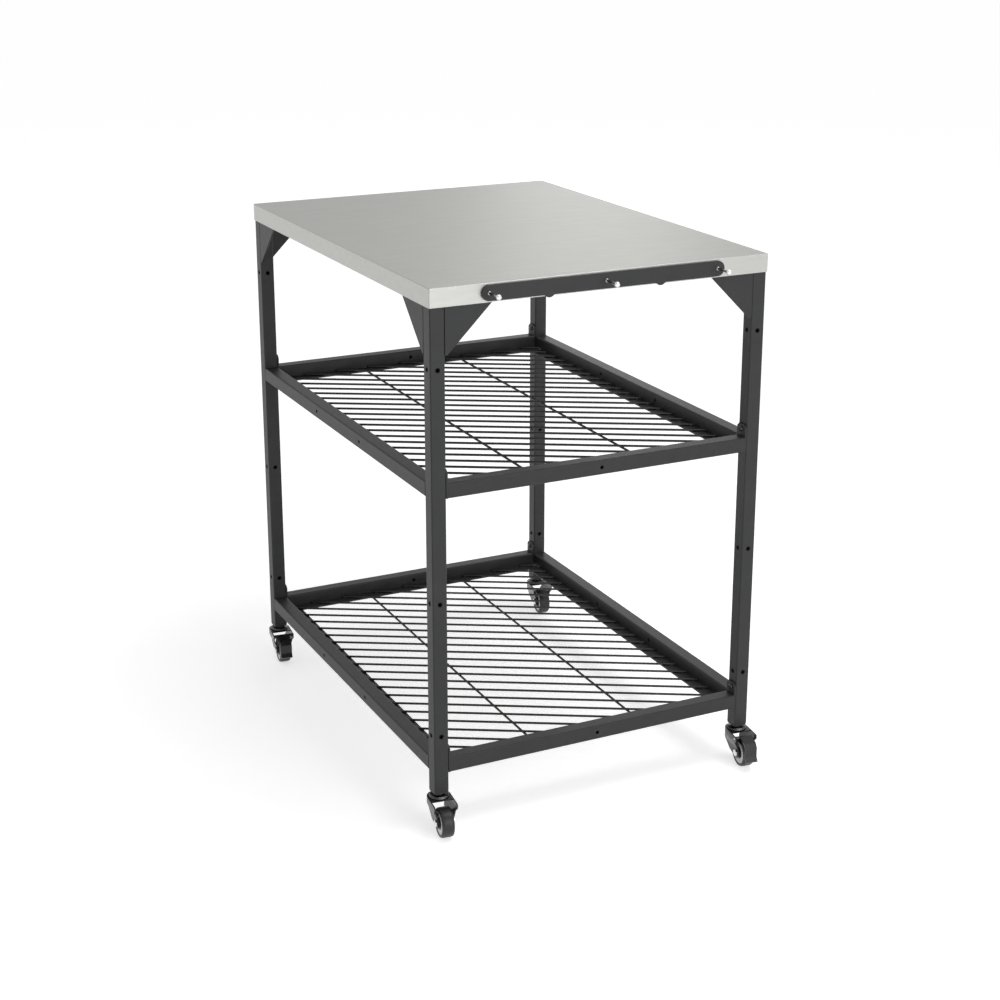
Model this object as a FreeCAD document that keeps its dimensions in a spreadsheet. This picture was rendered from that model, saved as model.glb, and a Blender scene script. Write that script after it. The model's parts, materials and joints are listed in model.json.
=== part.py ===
import FreeCAD, Part
import math
import os

import Sketcher

V = FreeCAD.Vector
ORIGIN = V(0, 0, 0)

# The driving sizes, in millimetres and degrees: alias, value, meaning.
SIZES = [
    ("width", 600, "overall width of the worktop"),
    ("depth", 800, "overall depth of the worktop"),
    ("top_height", 903, "floor to worktop surface"),
    ("tray_skirt", 30, "height of the worktop's folded skirt"),
    ("tray_sheet", 1.5, "worktop sheet"),
    ("tray_corner", 2, "radius of the worktop's upright corners"),
    ("tray_bend", 1.2, "radius of the bend round the worktop's edge"),
    ("tube", 25, "side of the square tube of legs and frame"),
    ("tube_wall", 1.5, "wall of the square tube"),
    ("tube_corner", 2.5, "outer corner radius of the square tube"),
    ("cross_rail_gap", 260, "centre distance of the two rails under the worktop"),
    ("leg_foot", 68, "floor to the end of the leg tube"),
    ("plug_flange", 2, "flange of the plug in the leg's end"),
    ("plug_length", 24, "part of the plug inside the leg"),
    ("fit", 0.05, "radial clearance of pins, stems and screws"),
    ("hole", 7, "spare fixing holes in the legs"),
    ("hole_low", 168, "height of the lowest spare holes"),
    ("hole_middle", 396, "height of the middle spare holes"),
    ("hole_high", 776, "height of the highest spare holes"),
    ("low_shelf", 102, "floor to the underside of the lower shelf"),
    ("high_shelf", 569.5, "floor to the underside of the upper shelf"),
    ("ledge", 24, "width of the ledge that the wires lie on"),
    ("ledge_sheet", 2.5, "thickness of the ledge"),
    ("rail_hole", 6, "holes in the shelf rails"),
    ("side_hole_gap", 200, "distance between the two holes of a side rail"),
    ("wire", 4, "wire of the shelf grids"),
    ("wire_pitch", 37, "distance of the slanting wires, along the side rail"),
    ("wire_angle", 29.3, "slant of the wires from the front rail"),
    ("wire_start", 23.5, "first wire's end from the front rail, along the right rail"),
    ("cross_wire_gap", 200, "distance between the two cross wires"),
    ("tab_sheet", 3, "thickness of the shelf's corner tabs"),
    ("tab_rise", 22, "tab's height above the shelf rail"),
    ("tab_hole_height", 38, "tab screw above the underside of the shelf"),
    ("screw", 6, "shank of the fixing screws"),
    ("screw_length", 14, "length of the fixing screws under the head"),
    ("screw_head", 10, "head diameter of the fixing screws"),
    ("screw_head_height", 3, "head height of the fixing screws"),
    ("nut", 9, "outside of the rivet nuts in the legs"),
    ("nut_length", 11, "length of the rivet nuts"),
    ("brace", 79, "two equal sides of a corner brace"),
    ("brace_sheet", 3, "thickness of a corner brace"),
    ("brace_tip", 4, "blunt tips of a corner brace"),
    ("rack_length", 428, "length of the tool rack's bar"),
    ("rack_height", 25, "height of the tool rack's bar"),
    ("rack_sheet", 3, "thickness of the tool rack's bar"),
    ("rack_drop", 15, "worktop surface to the middle of the rack's bar"),
    ("pad_sheet", 2, "thickness of the pads behind the rack's bar"),
    ("pad_width", 20, "width of the pads behind the rack's bar"),
    ("pad_height", 24, "height of the pads behind the rack's bar"),
    ("pad_gap", 197, "distance between the two pads"),
    ("pad_show", 5, "how far a pad shows below the rack's bar"),
    ("peg_gap", 202, "distance from one hanging peg to the next"),
    ("peg", 5, "diameter of a hanging peg"),
    ("peg_reach", 31, "length of a peg from the bar to its ball's centre"),
    ("ball", 9, "diameter of a peg's ball end"),
    ("wheel", 50, "caster wheel diameter"),
    ("wheel_width", 21, "width of the tyre"),
    ("core", 39, "diameter of the wheel's core inside the tyre"),
    ("core_width", 19, "width of the wheel's core"),
    ("core_boss", 13, "diameter of the core's hub"),
    ("core_web", 8, "thickness of the core between hub and rim"),
    ("core_rim", 6, "wall of the core's rim"),
    ("trail", 30, "swivel axis to wheel axle, level"),
    ("heading", -7, "angle of the trailing wheels from straight forwards"),
    ("axle", 6, "diameter of the wheel's axle"),
    ("axle_head", 11, "width of the axle's head and nut"),
    ("axle_head_height", 3, "height of the axle's head and nut"),
    ("fork_gap", 24, "clear width between the fork's cheeks at the axle"),
    ("fork_sheet", 2, "thickness of the fork"),
    ("fork_plate", 40, "width of the fork's top plate"),
    ("fork_top", 58, "floor to the top of the fork's plate"),
    ("fork_shoulder", 48, "floor to where the cheeks start to draw in"),
    ("fork_waist", 33, "floor to where the cheeks stand upright again"),
    ("fork_end", 9, "radius of a cheek round the axle"),
    ("race_gap", 0.4, "running gap between fork and upper race"),
    ("race", 34, "diameter of the upper race"),
    ("race_height", 4, "height of the upper race"),
    ("stem", 10, "diameter of the caster's stem"),
    ("stem_length", 22, "length of the stem above the race"),
    ("stem_hex", 17, "width across flats of the stem's collar"),
    ("kingpin", 8, "diameter of the rivet that holds the fork"),
    ("pedal_pin", 3.5, "diameter of the brake pedal's pin"),
    ("pedal_pin_lead", 4, "axle to the pedal's pin, level"),
    ("pedal_pin_rise", 29, "axle to the pedal's pin, upright"),
    ("pedal_width", 22, "width of the brake pedal's plate"),
    ("pedal_sheet", 2.5, "thickness of the brake pedal"),
    ("pedal_barrel", 3.4, "radius of the pedal round its pin"),
    ("pedal_clear", 2, "least gap between the pedal's plate and the tyre"),
    ("pedal_lip", 5, "how far the pedal's tip stands out from its plate"),
]


class Size:
    """A number that carries the formula it comes from, so a feature can be bound to it."""

    def __init__(self, value, text):
        self.value = float(value)
        self.text = text

    def __add__(self, other):
        other = size(other)
        return Size(self.value + other.value, f"({self.text} + {other.text})")

    def __sub__(self, other):
        other = size(other)
        return Size(self.value - other.value, f"({self.text} - {other.text})")

    def __rsub__(self, other):
        return size(other) - self

    def __mul__(self, other):
        other = size(other)
        return Size(self.value * other.value, f"{self.text} * {other.text}")

    def __truediv__(self, other):
        other = size(other)
        return Size(self.value / other.value, f"{self.text} / {other.text}")

    def __neg__(self):
        return Size(-self.value, f"(-1 * {self.text})")

    __radd__ = __add__
    __rmul__ = __mul__


def size(number):
    """A plain number as a Size; a Size stays as it is."""
    if isinstance(number, Size):
        return number
    return Size(number, repr(float(number)))


doc = FreeCAD.newDocument("pizza_oven_table")
sheet = doc.addObject("Spreadsheet::Sheet", "Sizes")
for line, (alias, value, meaning) in enumerate(SIZES, start=1):
    sheet.set(f"A{line}", alias)
    sheet.set(f"B{line}", str(value))
    sheet.setAlias(f"B{line}", alias)
    sheet.set(f"C{line}", meaning)
doc.recompute()


def read(alias):
    """The driving size of that name, bound to its cell."""
    return Size(getattr(sheet, alias), f"Sizes.{alias}")


width, depth, top_height = read("width"), read("depth"), read("top_height")
tray_skirt, tray_sheet = read("tray_skirt"), read("tray_sheet")
tube, tube_wall, tube_corner = read("tube"), read("tube_wall"), read("tube_corner")
leg_foot, fit, hole = read("leg_foot"), read("fit"), read("hole")
ledge, ledge_sheet, wire = read("ledge"), read("ledge_sheet"), read("wire")
tab_sheet, tab_rise, tab_hole_height = read("tab_sheet"), read("tab_rise"), read("tab_hole_height")
screw, nut, nut_length = read("screw"), read("nut"), read("nut_length")
brace, brace_sheet = read("brace"), read("brace_sheet")
rack_sheet, pad_sheet = read("rack_sheet"), read("pad_sheet")
peg, peg_gap = read("peg"), read("peg_gap")
wheel, trail, axle = read("wheel"), read("trail"), read("axle")
fork_gap, fork_sheet, fork_top = read("fork_gap"), read("fork_sheet"), read("fork_top")
kingpin, stem, pedal_pin = read("kingpin"), read("stem"), read("pedal_pin")
pedal_trail = trail + read("pedal_pin_lead")
pedal_height = wheel / 2 + read("pedal_pin_rise")
SHELVES = {"low": read("low_shelf"), "high": read("high_shelf")}

# Places that several pieces share, worked out from the driving sizes.
pedal_front = trail + wheel / 2 + read("pedal_clear") + read("pedal_sheet")
caster_reach = pedal_front + read("pedal_lip")
front_overhang = caster_reach - tray_sheet - tube / 2
middle = front_overhang / 2
side_face = width / 2 - tray_sheet
end_face = depth / 2 - tray_sheet
leg_x = side_face - tube / 2
leg_y = end_face - tube / 2
rail_reach_x = side_face - tube - tab_sheet
rail_reach_y = end_face - tube
frame_underside = top_height - tray_sheet - tube
plug_face = leg_foot - read("plug_flange")
ledge_reach_y = end_face - tube - ledge
CORNERS = [
    ("front_left", -1, -1),
    ("front_right", 1, -1),
    ("back_left", -1, 1),
    ("back_right", 1, 1),
]
BRAKED = ("front_right", "back_left")
# The wheels' rims are drawn in flats that are too short to see at the wheel's size.
WHEEL_FLATS = 24
# How close an edge has to lie to the place that it is looked for at.
NEAR = 0.01
ALONG_X, ALONG_Y, UPWARD = V(1, 0, 0), V(0, 1, 0), V(0, 0, 1)

nodes = []


def turned(x_axis, y_axis):
    """The rotation that takes a piece's own x and y to these two directions."""
    return FreeCAD.Rotation(x_axis, y_axis, x_axis.cross(y_axis), "XYZ")


def place(item, x, y, z, rotation=None):
    """Puts a piece's own origin at x, y, z, with each bound to its formula."""
    item.Placement = FreeCAD.Placement(
        V(size(x).value, size(y).value, size(z).value), rotation or FreeCAD.Rotation()
    )
    for axis, where in (("x", x), ("y", y), ("z", z)):
        item.setExpression(f"Placement.Base.{axis}", size(where).text)


def node(item, label):
    """Marks a finished piece, or a group of like pieces, for writing under its label."""
    item.Label = label
    nodes.append(item)
    return item


def group(label, pieces):
    """Like pieces that share one node, each a solid of its own."""
    bundle = doc.addObject("Part::Compound", label)
    bundle.Links = pieces
    return node(bundle, label)


def new_body(name):
    return doc.addObject("PartDesign::Body", name)


def new_sketch(body, name, role="XY_Plane", offset=0):
    """A sketch on one of the body's own planes, set off along the plane's normal."""
    sketch = body.newObject("Sketcher::SketchObject", name)
    lay_on(sketch, body, role, offset)
    return sketch


def lay_on(item, body, role, offset):
    plane = next(o for o in body.Origin.OriginFeatures if o.Role == role)
    item.AttachmentSupport = [(plane, "")]
    item.MapMode = "FlatFace"
    item.AttachmentOffset = FreeCAD.Placement(V(0, 0, size(offset).value), FreeCAD.Rotation())
    item.setExpression("AttachmentOffset.Base.z", size(offset).text)


def pin_down(sketch, element, point, x, y):
    """Ties one point of a sketch to its two coordinates."""
    for kind, value in (("DistanceX", size(x)), ("DistanceY", size(y))):
        index = sketch.addConstraint(Sketcher.Constraint(kind, -1, 1, element, point, value.value))
        sketch.setExpression(f"Constraints[{index}]", value.text)


def bind_radius(sketch, element, radius):
    radius = size(radius)
    index = sketch.addConstraint(Sketcher.Constraint("Radius", element, radius.value))
    sketch.setExpression(f"Constraints[{index}]", radius.text)


def draw_polygon(sketch, points):
    """A closed outline through the points, each tied to its coordinates."""
    corners = [V(size(x).value, size(y).value, 0) for x, y in points]
    first = sketch.GeometryCount
    for start, end in zip(corners, corners[1:] + corners[:1]):
        sketch.addGeometry(Part.LineSegment(start, end), False)
    for i, (x, y) in enumerate(points):
        before = first + (i - 1) % len(points)
        sketch.addConstraint(Sketcher.Constraint("Coincident", before, 2, first + i, 1))
        pin_down(sketch, first + i, 1, x, y)


def draw_rounded(sketch, x_low, y_low, x_high, y_high, radius):
    """A rectangle with round corners, tied to its four sides and its radius."""
    x0, y0, x1, y1 = (size(n).value for n in (x_low, y_low, x_high, y_high))
    r = size(radius).value
    first = sketch.GeometryCount
    sides = [
        (V(x0 + r, y0, 0), V(x1 - r, y0, 0)),
        (V(x1, y0 + r, 0), V(x1, y1 - r, 0)),
        (V(x1 - r, y1, 0), V(x0 + r, y1, 0)),
        (V(x0, y1 - r, 0), V(x0, y0 + r, 0)),
    ]
    centres = [V(x1 - r, y0 + r, 0), V(x1 - r, y1 - r, 0), V(x0 + r, y1 - r, 0), V(x0 + r, y0 + r, 0)]
    for start, end in sides:
        sketch.addGeometry(Part.LineSegment(start, end), False)
    for i, centre in enumerate(centres):
        begin = math.radians(-90 + 90 * i)
        circle = Part.Circle(centre, UPWARD, r)
        sketch.addGeometry(Part.ArcOfCircle(circle, begin, begin + math.pi / 2), False)
    for i in range(4):
        arc, side, after = first + 4 + i, first + i, first + (i + 1) % 4
        sketch.addConstraint(Sketcher.Constraint("Tangent", side, 2, arc, 1))
        sketch.addConstraint(Sketcher.Constraint("Tangent", arc, 2, after, 1))
        if i:
            sketch.addConstraint(Sketcher.Constraint("Equal", first + 4, arc))
    sketch.addConstraint(Sketcher.Constraint("Horizontal", first))
    sketch.addConstraint(Sketcher.Constraint("Horizontal", first + 2))
    sketch.addConstraint(Sketcher.Constraint("Vertical", first + 1))
    sketch.addConstraint(Sketcher.Constraint("Vertical", first + 3))
    bind_radius(sketch, first + 4, radius)
    for kind, element, where in (
        ("DistanceY", first, y_low),
        ("DistanceX", first + 1, x_high),
        ("DistanceY", first + 2, y_high),
        ("DistanceX", first + 3, x_low),
    ):
        where = size(where)
        index = sketch.addConstraint(Sketcher.Constraint(kind, -1, 1, element, 1, where.value))
        sketch.setExpression(f"Constraints[{index}]", where.text)


def draw_circle(sketch, x, y, radius):
    centre = V(size(x).value, size(y).value, 0)
    element = sketch.addGeometry(Part.Circle(centre, UPWARD, size(radius).value), False)
    pin_down(sketch, element, 3, x, y)
    bind_radius(sketch, element, radius)


def draw_eight_sided(sketch, x, y, reach, straight):
    """A square outline with its corners cut off: each flat is twice straight long."""
    x, y, reach, straight = size(x), size(y), size(reach), size(straight)
    draw_polygon(
        sketch,
        [
            (x + reach, y - straight),
            (x + reach, y + straight),
            (x + straight, y + reach),
            (x - straight, y + reach),
            (x - reach, y + straight),
            (x - reach, y - straight),
            (x - straight, y - reach),
            (x + straight, y - reach),
        ],
    )


def draw_octagon(sketch, x, y, radius):
    """Eight equal sides round a circle, for small holes and fasteners of which there are many."""
    draw_eight_sided(sketch, x, y, radius, size(radius) * math.tan(math.pi / 8))


def draw_hexagon(sketch, x, y, flats):
    """A hexagon measured across its flats, two of which stand upright."""
    x, y, across = size(x), size(y), size(flats) / 2
    slant = across * math.tan(math.pi / 6)
    draw_polygon(
        sketch,
        [
            (x + across, y - slant),
            (x + across, y + slant),
            (x, y + slant * 2),
            (x - across, y + slant),
            (x - across, y - slant),
            (x, y - slant * 2),
        ],
    )


def draw_square_tube(sketch, side, wall, corner, x_low, y_low):
    """The section of a square tube: its outside and its hollow."""
    draw_rounded(sketch, x_low, y_low, x_low + side, y_low + side, corner)
    draw_rounded(
        sketch, x_low + wall, y_low + wall, x_low + side - wall, y_low + side - wall, corner - wall
    )


def pad(body, sketch, length, midway=False, reverse=False):
    feature = body.newObject("PartDesign::Pad", sketch.Name + "_pad")
    feature.Profile = sketch
    feature.SideType = "Symmetric" if midway else "One side"
    feature.Reversed = reverse
    feature.setExpression("Length", size(length).text)
    return feature


def pocket(body, sketch, length=None, reverse=False):
    """Cuts the sketch away: one way for a length, or both ways right through."""
    feature = body.newObject("PartDesign::Pocket", sketch.Name + "_cut")
    feature.Profile = sketch
    feature.Reversed = reverse
    if length is None:
        feature.SideType = "Symmetric"
        feature.Type = "ThroughAll"
    else:
        feature.setExpression("Length", size(length).text)
    return feature


def revolve(body, sketch):
    """Turns the sketch once round its own upright axis."""
    feature = body.newObject("PartDesign::Revolution", sketch.Name + "_turned")
    feature.Profile = sketch
    feature.ReferenceAxis = (sketch, ["V_Axis"])
    feature.Angle = 360
    return feature


def wheel_disc(body, name, kind, radius, low, high):
    """Adds or takes away a disc between two heights, its rim in the wheel's flats."""
    disc = body.newObject(f"PartDesign::{kind}Prism", name)
    lay_on(disc, body, "XY_Plane", low)
    disc.Polygon = WHEEL_FLATS
    disc.setExpression("Circumradius", size(radius).text)
    disc.setExpression("Height", (high - low).text)
    return disc


def bevel_edges(body, name, length, wanted):
    """Bevels the edges of the body's last feature that the test picks."""
    return dress_edges(body, "Chamfer", name, "Size", length, wanted)


def round_edges(body, name, radius, wanted):
    """Rounds the edges of the body's last feature that the test picks."""
    return dress_edges(body, "Fillet", name, "Radius", radius, wanted)


def dress_edges(body, kind, name, measure, length, wanted):
    doc.recompute()
    base = body.Tip
    edges = [f"Edge{i}" for i, e in enumerate(base.Shape.Edges, start=1) if wanted(e)]
    feature = body.newObject(f"PartDesign::{kind}", name)
    feature.Base = (base, edges)
    feature.setExpression(measure, size(length).text)
    return feature


# The worktop: a folded stainless tray with an open underside.

def make_tabletop():
    body = new_body("tabletop")
    corner = read("tray_corner")
    outline = new_sketch(body, "tray_outline")
    draw_rounded(outline, -width / 2, -depth / 2, width / 2, depth / 2, corner)
    pad(body, outline, tray_skirt)
    hollow = new_sketch(body, "tray_hollow")
    draw_rounded(hollow, -side_face, -end_face, side_face, end_face, corner - tray_sheet)
    pocket(body, hollow, tray_skirt - tray_sheet, reverse=True)
    pegs = new_sketch(body, "tray_peg_holes", "XZ_Plane", depth / 2)
    for step in (-1, 0, 1):
        draw_octagon(pegs, peg_gap * step, tray_skirt - read("rack_drop"), peg / 2 + fit)
    pocket(body, pegs, tray_sheet * 2)
    top = tray_skirt.value

    def on_rim(edge):
        box = edge.BoundBox
        return box.ZMin > top - NEAR

    round_edges(body, "tray_bend", read("tray_bend"), on_rim)
    place(body, 0, middle, top_height - tray_skirt)
    return node(body, "tabletop")


def make_top_rail(label, reach, x, y, inward):
    """One square tube of the frame inside the tray; its own x points inwards, y up."""
    body = new_body(label)
    section = new_sketch(body, label + "_section")
    centre, flat = tube / 2, tube / 2 - tube_corner
    draw_eight_sided(section, centre, centre, tube / 2, flat)
    draw_eight_sided(section, centre, centre, tube / 2 - tube_wall, flat)
    pad(body, section, reach * 2, midway=True)
    place(body, x, y, frame_underside, turned(inward, UPWARD))
    return body


def make_top_frame():
    front = make_top_rail("top_rail_front", side_face, 0, middle - end_face, ALONG_Y)
    back = make_top_rail("top_rail_back", side_face, 0, middle + end_face, -ALONG_Y)
    left = make_top_rail("top_rail_left", rail_reach_y, -side_face, middle, ALONG_X)
    right = make_top_rail("top_rail_right", rail_reach_y, side_face, middle, -ALONG_X)
    for rail in (front, back, left, right):
        node(rail, rail.Label)
    cross = [
        make_top_rail(
            f"cross_rail_{name}",
            side_face - tube,
            0,
            middle + read("cross_rail_gap") / 2 * sign - tube / 2,
            ALONG_Y,
        )
        for name, sign in (("front", -1), ("back", 1))
    ]
    group("top_cross_rails", cross)


# The legs, their plugs and the nuts for the shelf screws.

def make_leg(corner, side, end):
    label = f"leg_{corner}"
    body = new_body(label)
    section = new_sketch(body, label + "_section")
    draw_square_tube(section, tube, tube_wall, tube_corner, -tube / 2, -tube / 2)
    pad(body, section, frame_underside - leg_foot)
    for role in ("XZ_Plane", "YZ_Plane"):
        spare = new_sketch(body, f"{label}_holes_{role[:2]}", role)
        for height in ("hole_low", "hole_middle", "hole_high"):
            draw_octagon(spare, 0, read(height) - leg_foot, hole / 2)
        pocket(body, spare)
    nuts = new_sketch(body, label + "_nut_holes", "YZ_Plane")
    for shelf in SHELVES.values():
        draw_octagon(nuts, 0, shelf + tab_hole_height - leg_foot, nut / 2)
    pocket(body, nuts, tube, reverse=(side < 0))
    place(body, leg_x * side, middle + leg_y * end, leg_foot)
    return node(body, label)


def make_plug(corner, side, end):
    """The plastic plug that closes the leg's end and holds the caster's stem."""
    name = f"plug_{corner}"
    body = new_body(name)
    flat = tube / 2 - tube_corner
    flange = new_sketch(body, name + "_flange")
    draw_eight_sided(flange, 0, 0, tube / 2, flat)
    pad(body, flange, read("plug_flange"))
    core = new_sketch(body, name + "_core", offset=read("plug_flange"))
    draw_eight_sided(core, 0, 0, tube / 2 - tube_wall - fit, flat)
    pad(body, core, read("plug_length"))
    bore = new_sketch(body, name + "_bore")
    draw_octagon(bore, 0, 0, stem / 2 + fit)
    pocket(body, bore, read("plug_flange") + read("plug_length"), reverse=True)
    place(body, leg_x * side, middle + leg_y * end, plug_face)
    return body


def make_ring(name, outside, bore, length):
    """A plain sleeve along its own z."""
    body = new_body(name)
    section = new_sketch(body, name + "_section")
    draw_octagon(section, 0, 0, outside / 2)
    draw_octagon(section, 0, 0, bore / 2)
    pad(body, section, length)
    return body


def make_screw(name):
    """A fixing screw along its own z, its head below zero."""
    body = new_body(name)
    shank = new_sketch(body, name + "_shank")
    draw_octagon(shank, 0, 0, screw / 2)
    pad(body, shank, read("screw_length"))
    crown = new_sketch(body, name + "_head")
    draw_octagon(crown, 0, 0, read("screw_head") / 2)
    pad(body, crown, read("screw_head_height"), reverse=True)
    return body


def make_shelf_fixings():
    """The screws through the shelf tabs, and the rivet nuts that they turn into."""
    screws, nuts = [], []
    for shelf, bottom in SHELVES.items():
        height = bottom + tab_hole_height
        for corner, side, end in CORNERS:
            outward = turned(ALONG_Y, UPWARD) if side > 0 else turned(ALONG_Y, -UPWARD)
            inner_face = (side_face - tube) * side
            turn = make_screw(f"screw_{shelf}_{corner}")
            place(turn, rail_reach_x * side, middle + leg_y * end, height, outward)
            screws.append(turn)
            sleeve = make_ring(f"nut_{shelf}_{corner}", nut, screw + fit * 2, nut_length)
            place(sleeve, inner_face, middle + leg_y * end, height, outward)
            nuts.append(sleeve)
    group("shelf_screws", screws)
    group("rivet_nuts", nuts)


# The two shelves: rails with a ledge, corner tabs and a grid of slanting wires.

def make_shelf_rail(label, reach, ledge_end, holes, x, y, z, inward):
    """A square tube with a ledge along its foot; its own x points inwards, y up."""
    body = new_body(label)
    section = new_sketch(body, label + "_section")
    draw_square_tube(section, tube, tube_wall, tube_corner, size(0), size(0))
    pad(body, section, reach * 2, midway=True)
    strip = new_sketch(body, label + "_ledge")
    near, far = tube - tube_wall, tube + ledge
    draw_polygon(strip, [(near, 0), (far, 0), (far, ledge_sheet), (near, ledge_sheet)])
    pad(body, strip, ledge_end * 2, midway=True)
    drill = new_sketch(body, label + "_holes", "YZ_Plane")
    for along in holes:
        draw_octagon(drill, tube / 2, along, read("rail_hole") / 2)
    pocket(body, drill, tube, reverse=True)
    place(body, x, y, z, turned(inward, UPWARD))
    return node(body, label)


def make_tab(name, x, y, z, outward):
    """A plate welded to a rail's end, which stands against the leg and takes its screw."""
    body = new_body(name)
    outline = new_sketch(body, name + "_outline")
    half = tube / 2
    top = tube + tab_rise
    slope = tab_rise / 4
    draw_polygon(
        outline,
        [
            (-half, 0),
            (half, 0),
            (half, top - slope),
            (half - slope, top),
            (slope - half, top),
            (-half, top - slope),
        ],
    )
    draw_octagon(outline, 0, tab_hole_height, screw / 2 + fit)
    pad(body, outline, tab_sheet)
    place(body, x, y, z, turned(ALONG_Y * outward, UPWARD))
    return body


def wire_between(start, end):
    """A level wire with square ends: eight flats, one lying down, stand for its round."""
    along = end - start
    side = UPWARD.cross(along).normalize()
    radius = wire.value / 2 / math.cos(math.pi / 8)
    corners = []
    for i in range(8):
        angle = math.pi / 8 * (2 * i + 1)
        corners.append(start + side * (radius * math.cos(angle)) + UPWARD * (radius * math.sin(angle)))
    section = Part.Face(Part.makePolygon(corners + corners[:1]))
    return section.extrude(along)


def make_grid(label, bottom):
    """Slanting wires on the ledges, and two cross wires under them from ledge to ledge."""
    radius = wire.value / 2
    lying = bottom.value + ledge_sheet.value + radius
    slope = math.tan(math.radians(read("wire_angle").value))
    shy = radius + fit.value
    x_end = side_face.value - tube.value - shy
    y_front = middle.value - end_face.value + tube.value + shy
    y_back = middle.value + end_face.value - tube.value - shy
    pitch = read("wire_pitch").value
    run = 2 * x_end * slope
    first = y_front - shy + read("wire_start").value
    landing = first - pitch * math.floor((first - y_front + run) / pitch)
    wires = []
    # landing is where a wire's line meets the right rail; the front and back rails cut it short
    while landing < y_back:
        past_front = max(y_front - landing, 0)
        past_back = max(landing + run - y_back, 0)
        right = V(x_end - past_front / slope, landing + past_front, lying)
        left = V(-x_end + past_back / slope, landing + run - past_back, lying)
        if (right - left).Length > pitch:
            wires.append(wire_between(left, right))
        landing += pitch
    under = lying - 2 * radius
    near = middle.value - ledge_reach_y.value
    far = middle.value + ledge_reach_y.value
    for side in (-1, 1):
        x = side * read("cross_wire_gap").value / 2
        wires.append(wire_between(V(x, near, under), V(x, far, under)))
    grid = doc.addObject("Part::Feature", label)
    grid.Shape = Part.makeCompound(wires)
    return node(grid, label)


def make_shelf(shelf, bottom):
    gap = read("side_hole_gap") / 2
    front_back = (-end_face, "front", ALONG_Y), (end_face, "back", -ALONG_Y)
    for y, end, inward in front_back:
        make_shelf_rail(
            f"{shelf}_rail_{end}", rail_reach_x, rail_reach_x, [size(0)], 0, middle + y, bottom, inward
        )
    for x, side, inward in (-side_face, "left", ALONG_X), (side_face, "right", -ALONG_X):
        make_shelf_rail(
            f"{shelf}_rail_{side}", rail_reach_y, ledge_reach_y, [-gap, gap], x, middle, bottom, inward
        )
    tabs = [
        make_tab(
            f"{shelf}_tab_{corner}",
            rail_reach_x * side,
            middle + leg_y * end,
            bottom,
            side,
        )
        for corner, side, end in CORNERS
    ]
    group(f"{shelf}_shelf_tabs", tabs)
    make_grid(f"{shelf}_shelf_grid", bottom)


# The corner braces under the worktop.

def make_brace(name, x, y, along, inward):
    """A three-cornered plate welded to leg and frame: x along the rail, y up, z inwards."""
    body = new_body(name)
    tip = read("brace_tip")
    plate = new_sketch(body, name + "_plate")
    draw_polygon(
        plate,
        [(0, -brace), (tip, -brace), (brace, -tip), (brace, 0), (0, 0)],
    )
    backwards = along.cross(UPWARD).dot(inward) < 0
    pad(body, plate, brace_sheet, reverse=backwards)
    place(body, x, y, frame_underside, turned(along, UPWARD))
    return body


def make_braces():
    for corner, side, end in CORNERS:
        to_middle, to_centre = ALONG_X * -side, ALONG_Y * -end
        leg_side_x = (side_face - tube) * side
        leg_side_y = middle + (end_face - tube) * end
        face_x, face_y = side_face * side, middle + end_face * end
        across = make_brace(f"brace_{corner}_across", leg_side_x, face_y, to_middle, to_centre)
        along = make_brace(f"brace_{corner}_along", face_x, leg_side_y, to_centre, to_middle)
        group(f"braces_{corner}", [across, along])


# The tool rack on the front of the worktop.

def make_slot_plate(name, length, height, thickness, holes=()):
    """A plate with half-round ends along its own x, drilled along its middle line."""
    body = new_body(name)
    outline = new_sketch(body, name + "_outline")
    draw_rounded(outline, -length / 2, -height / 2, length / 2, height / 2, height / 2 - 0.01)
    for x in holes:
        draw_octagon(outline, x, 0, peg / 2 + fit)
    pad(body, outline, thickness)
    return body


def make_rack():
    skirt_face = middle - depth / 2
    bar_height = top_height - read("rack_drop")
    facing = turned(ALONG_X, UPWARD)
    bar = make_slot_plate(
        "rack_bar",
        read("rack_length"),
        read("rack_height"),
        rack_sheet,
        [-peg_gap, size(0), peg_gap],
    )
    place(bar, 0, skirt_face - pad_sheet, bar_height, facing)
    node(bar, "rack_bar")
    pads = []
    pad_bottom = bar_height - read("rack_height") / 2 - read("pad_show")
    for name, side in (("left", -1), ("right", 1)):
        plate = make_slot_plate(
            f"rack_pad_{name}", read("pad_height"), read("pad_width"), pad_sheet
        )
        upright = turned(UPWARD, -ALONG_X)
        centre = pad_bottom + read("pad_height") / 2
        place(plate, read("pad_gap") / 2 * side, skirt_face, centre, upright)
        pads.append(plate)
    group("rack_pads", pads)
    pegs = []
    for name, step in (("left", -1), ("middle", 0), ("right", 1)):
        turning = make_peg(f"peg_{name}")
        place(turning, peg_gap * step, skirt_face + tray_sheet, bar_height, facing)
        pegs.append(turning)
    group("rack_pegs", pegs)


def make_peg(name):
    """A turned peg along its own z, from the worktop's inner face through the bar to its ball end."""
    body = new_body(name)
    rod = new_sketch(body, name + "_rod")
    draw_circle(rod, 0, 0, peg / 2)
    reach = tray_sheet + pad_sheet + rack_sheet + read("peg_reach")
    pad(body, rod, reach)
    ball = new_sketch(body, name + "_ball", "XZ_Plane")
    draw_half_round(ball, size(0), reach, read("ball") / 2)
    revolve(body, ball)
    return body


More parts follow.
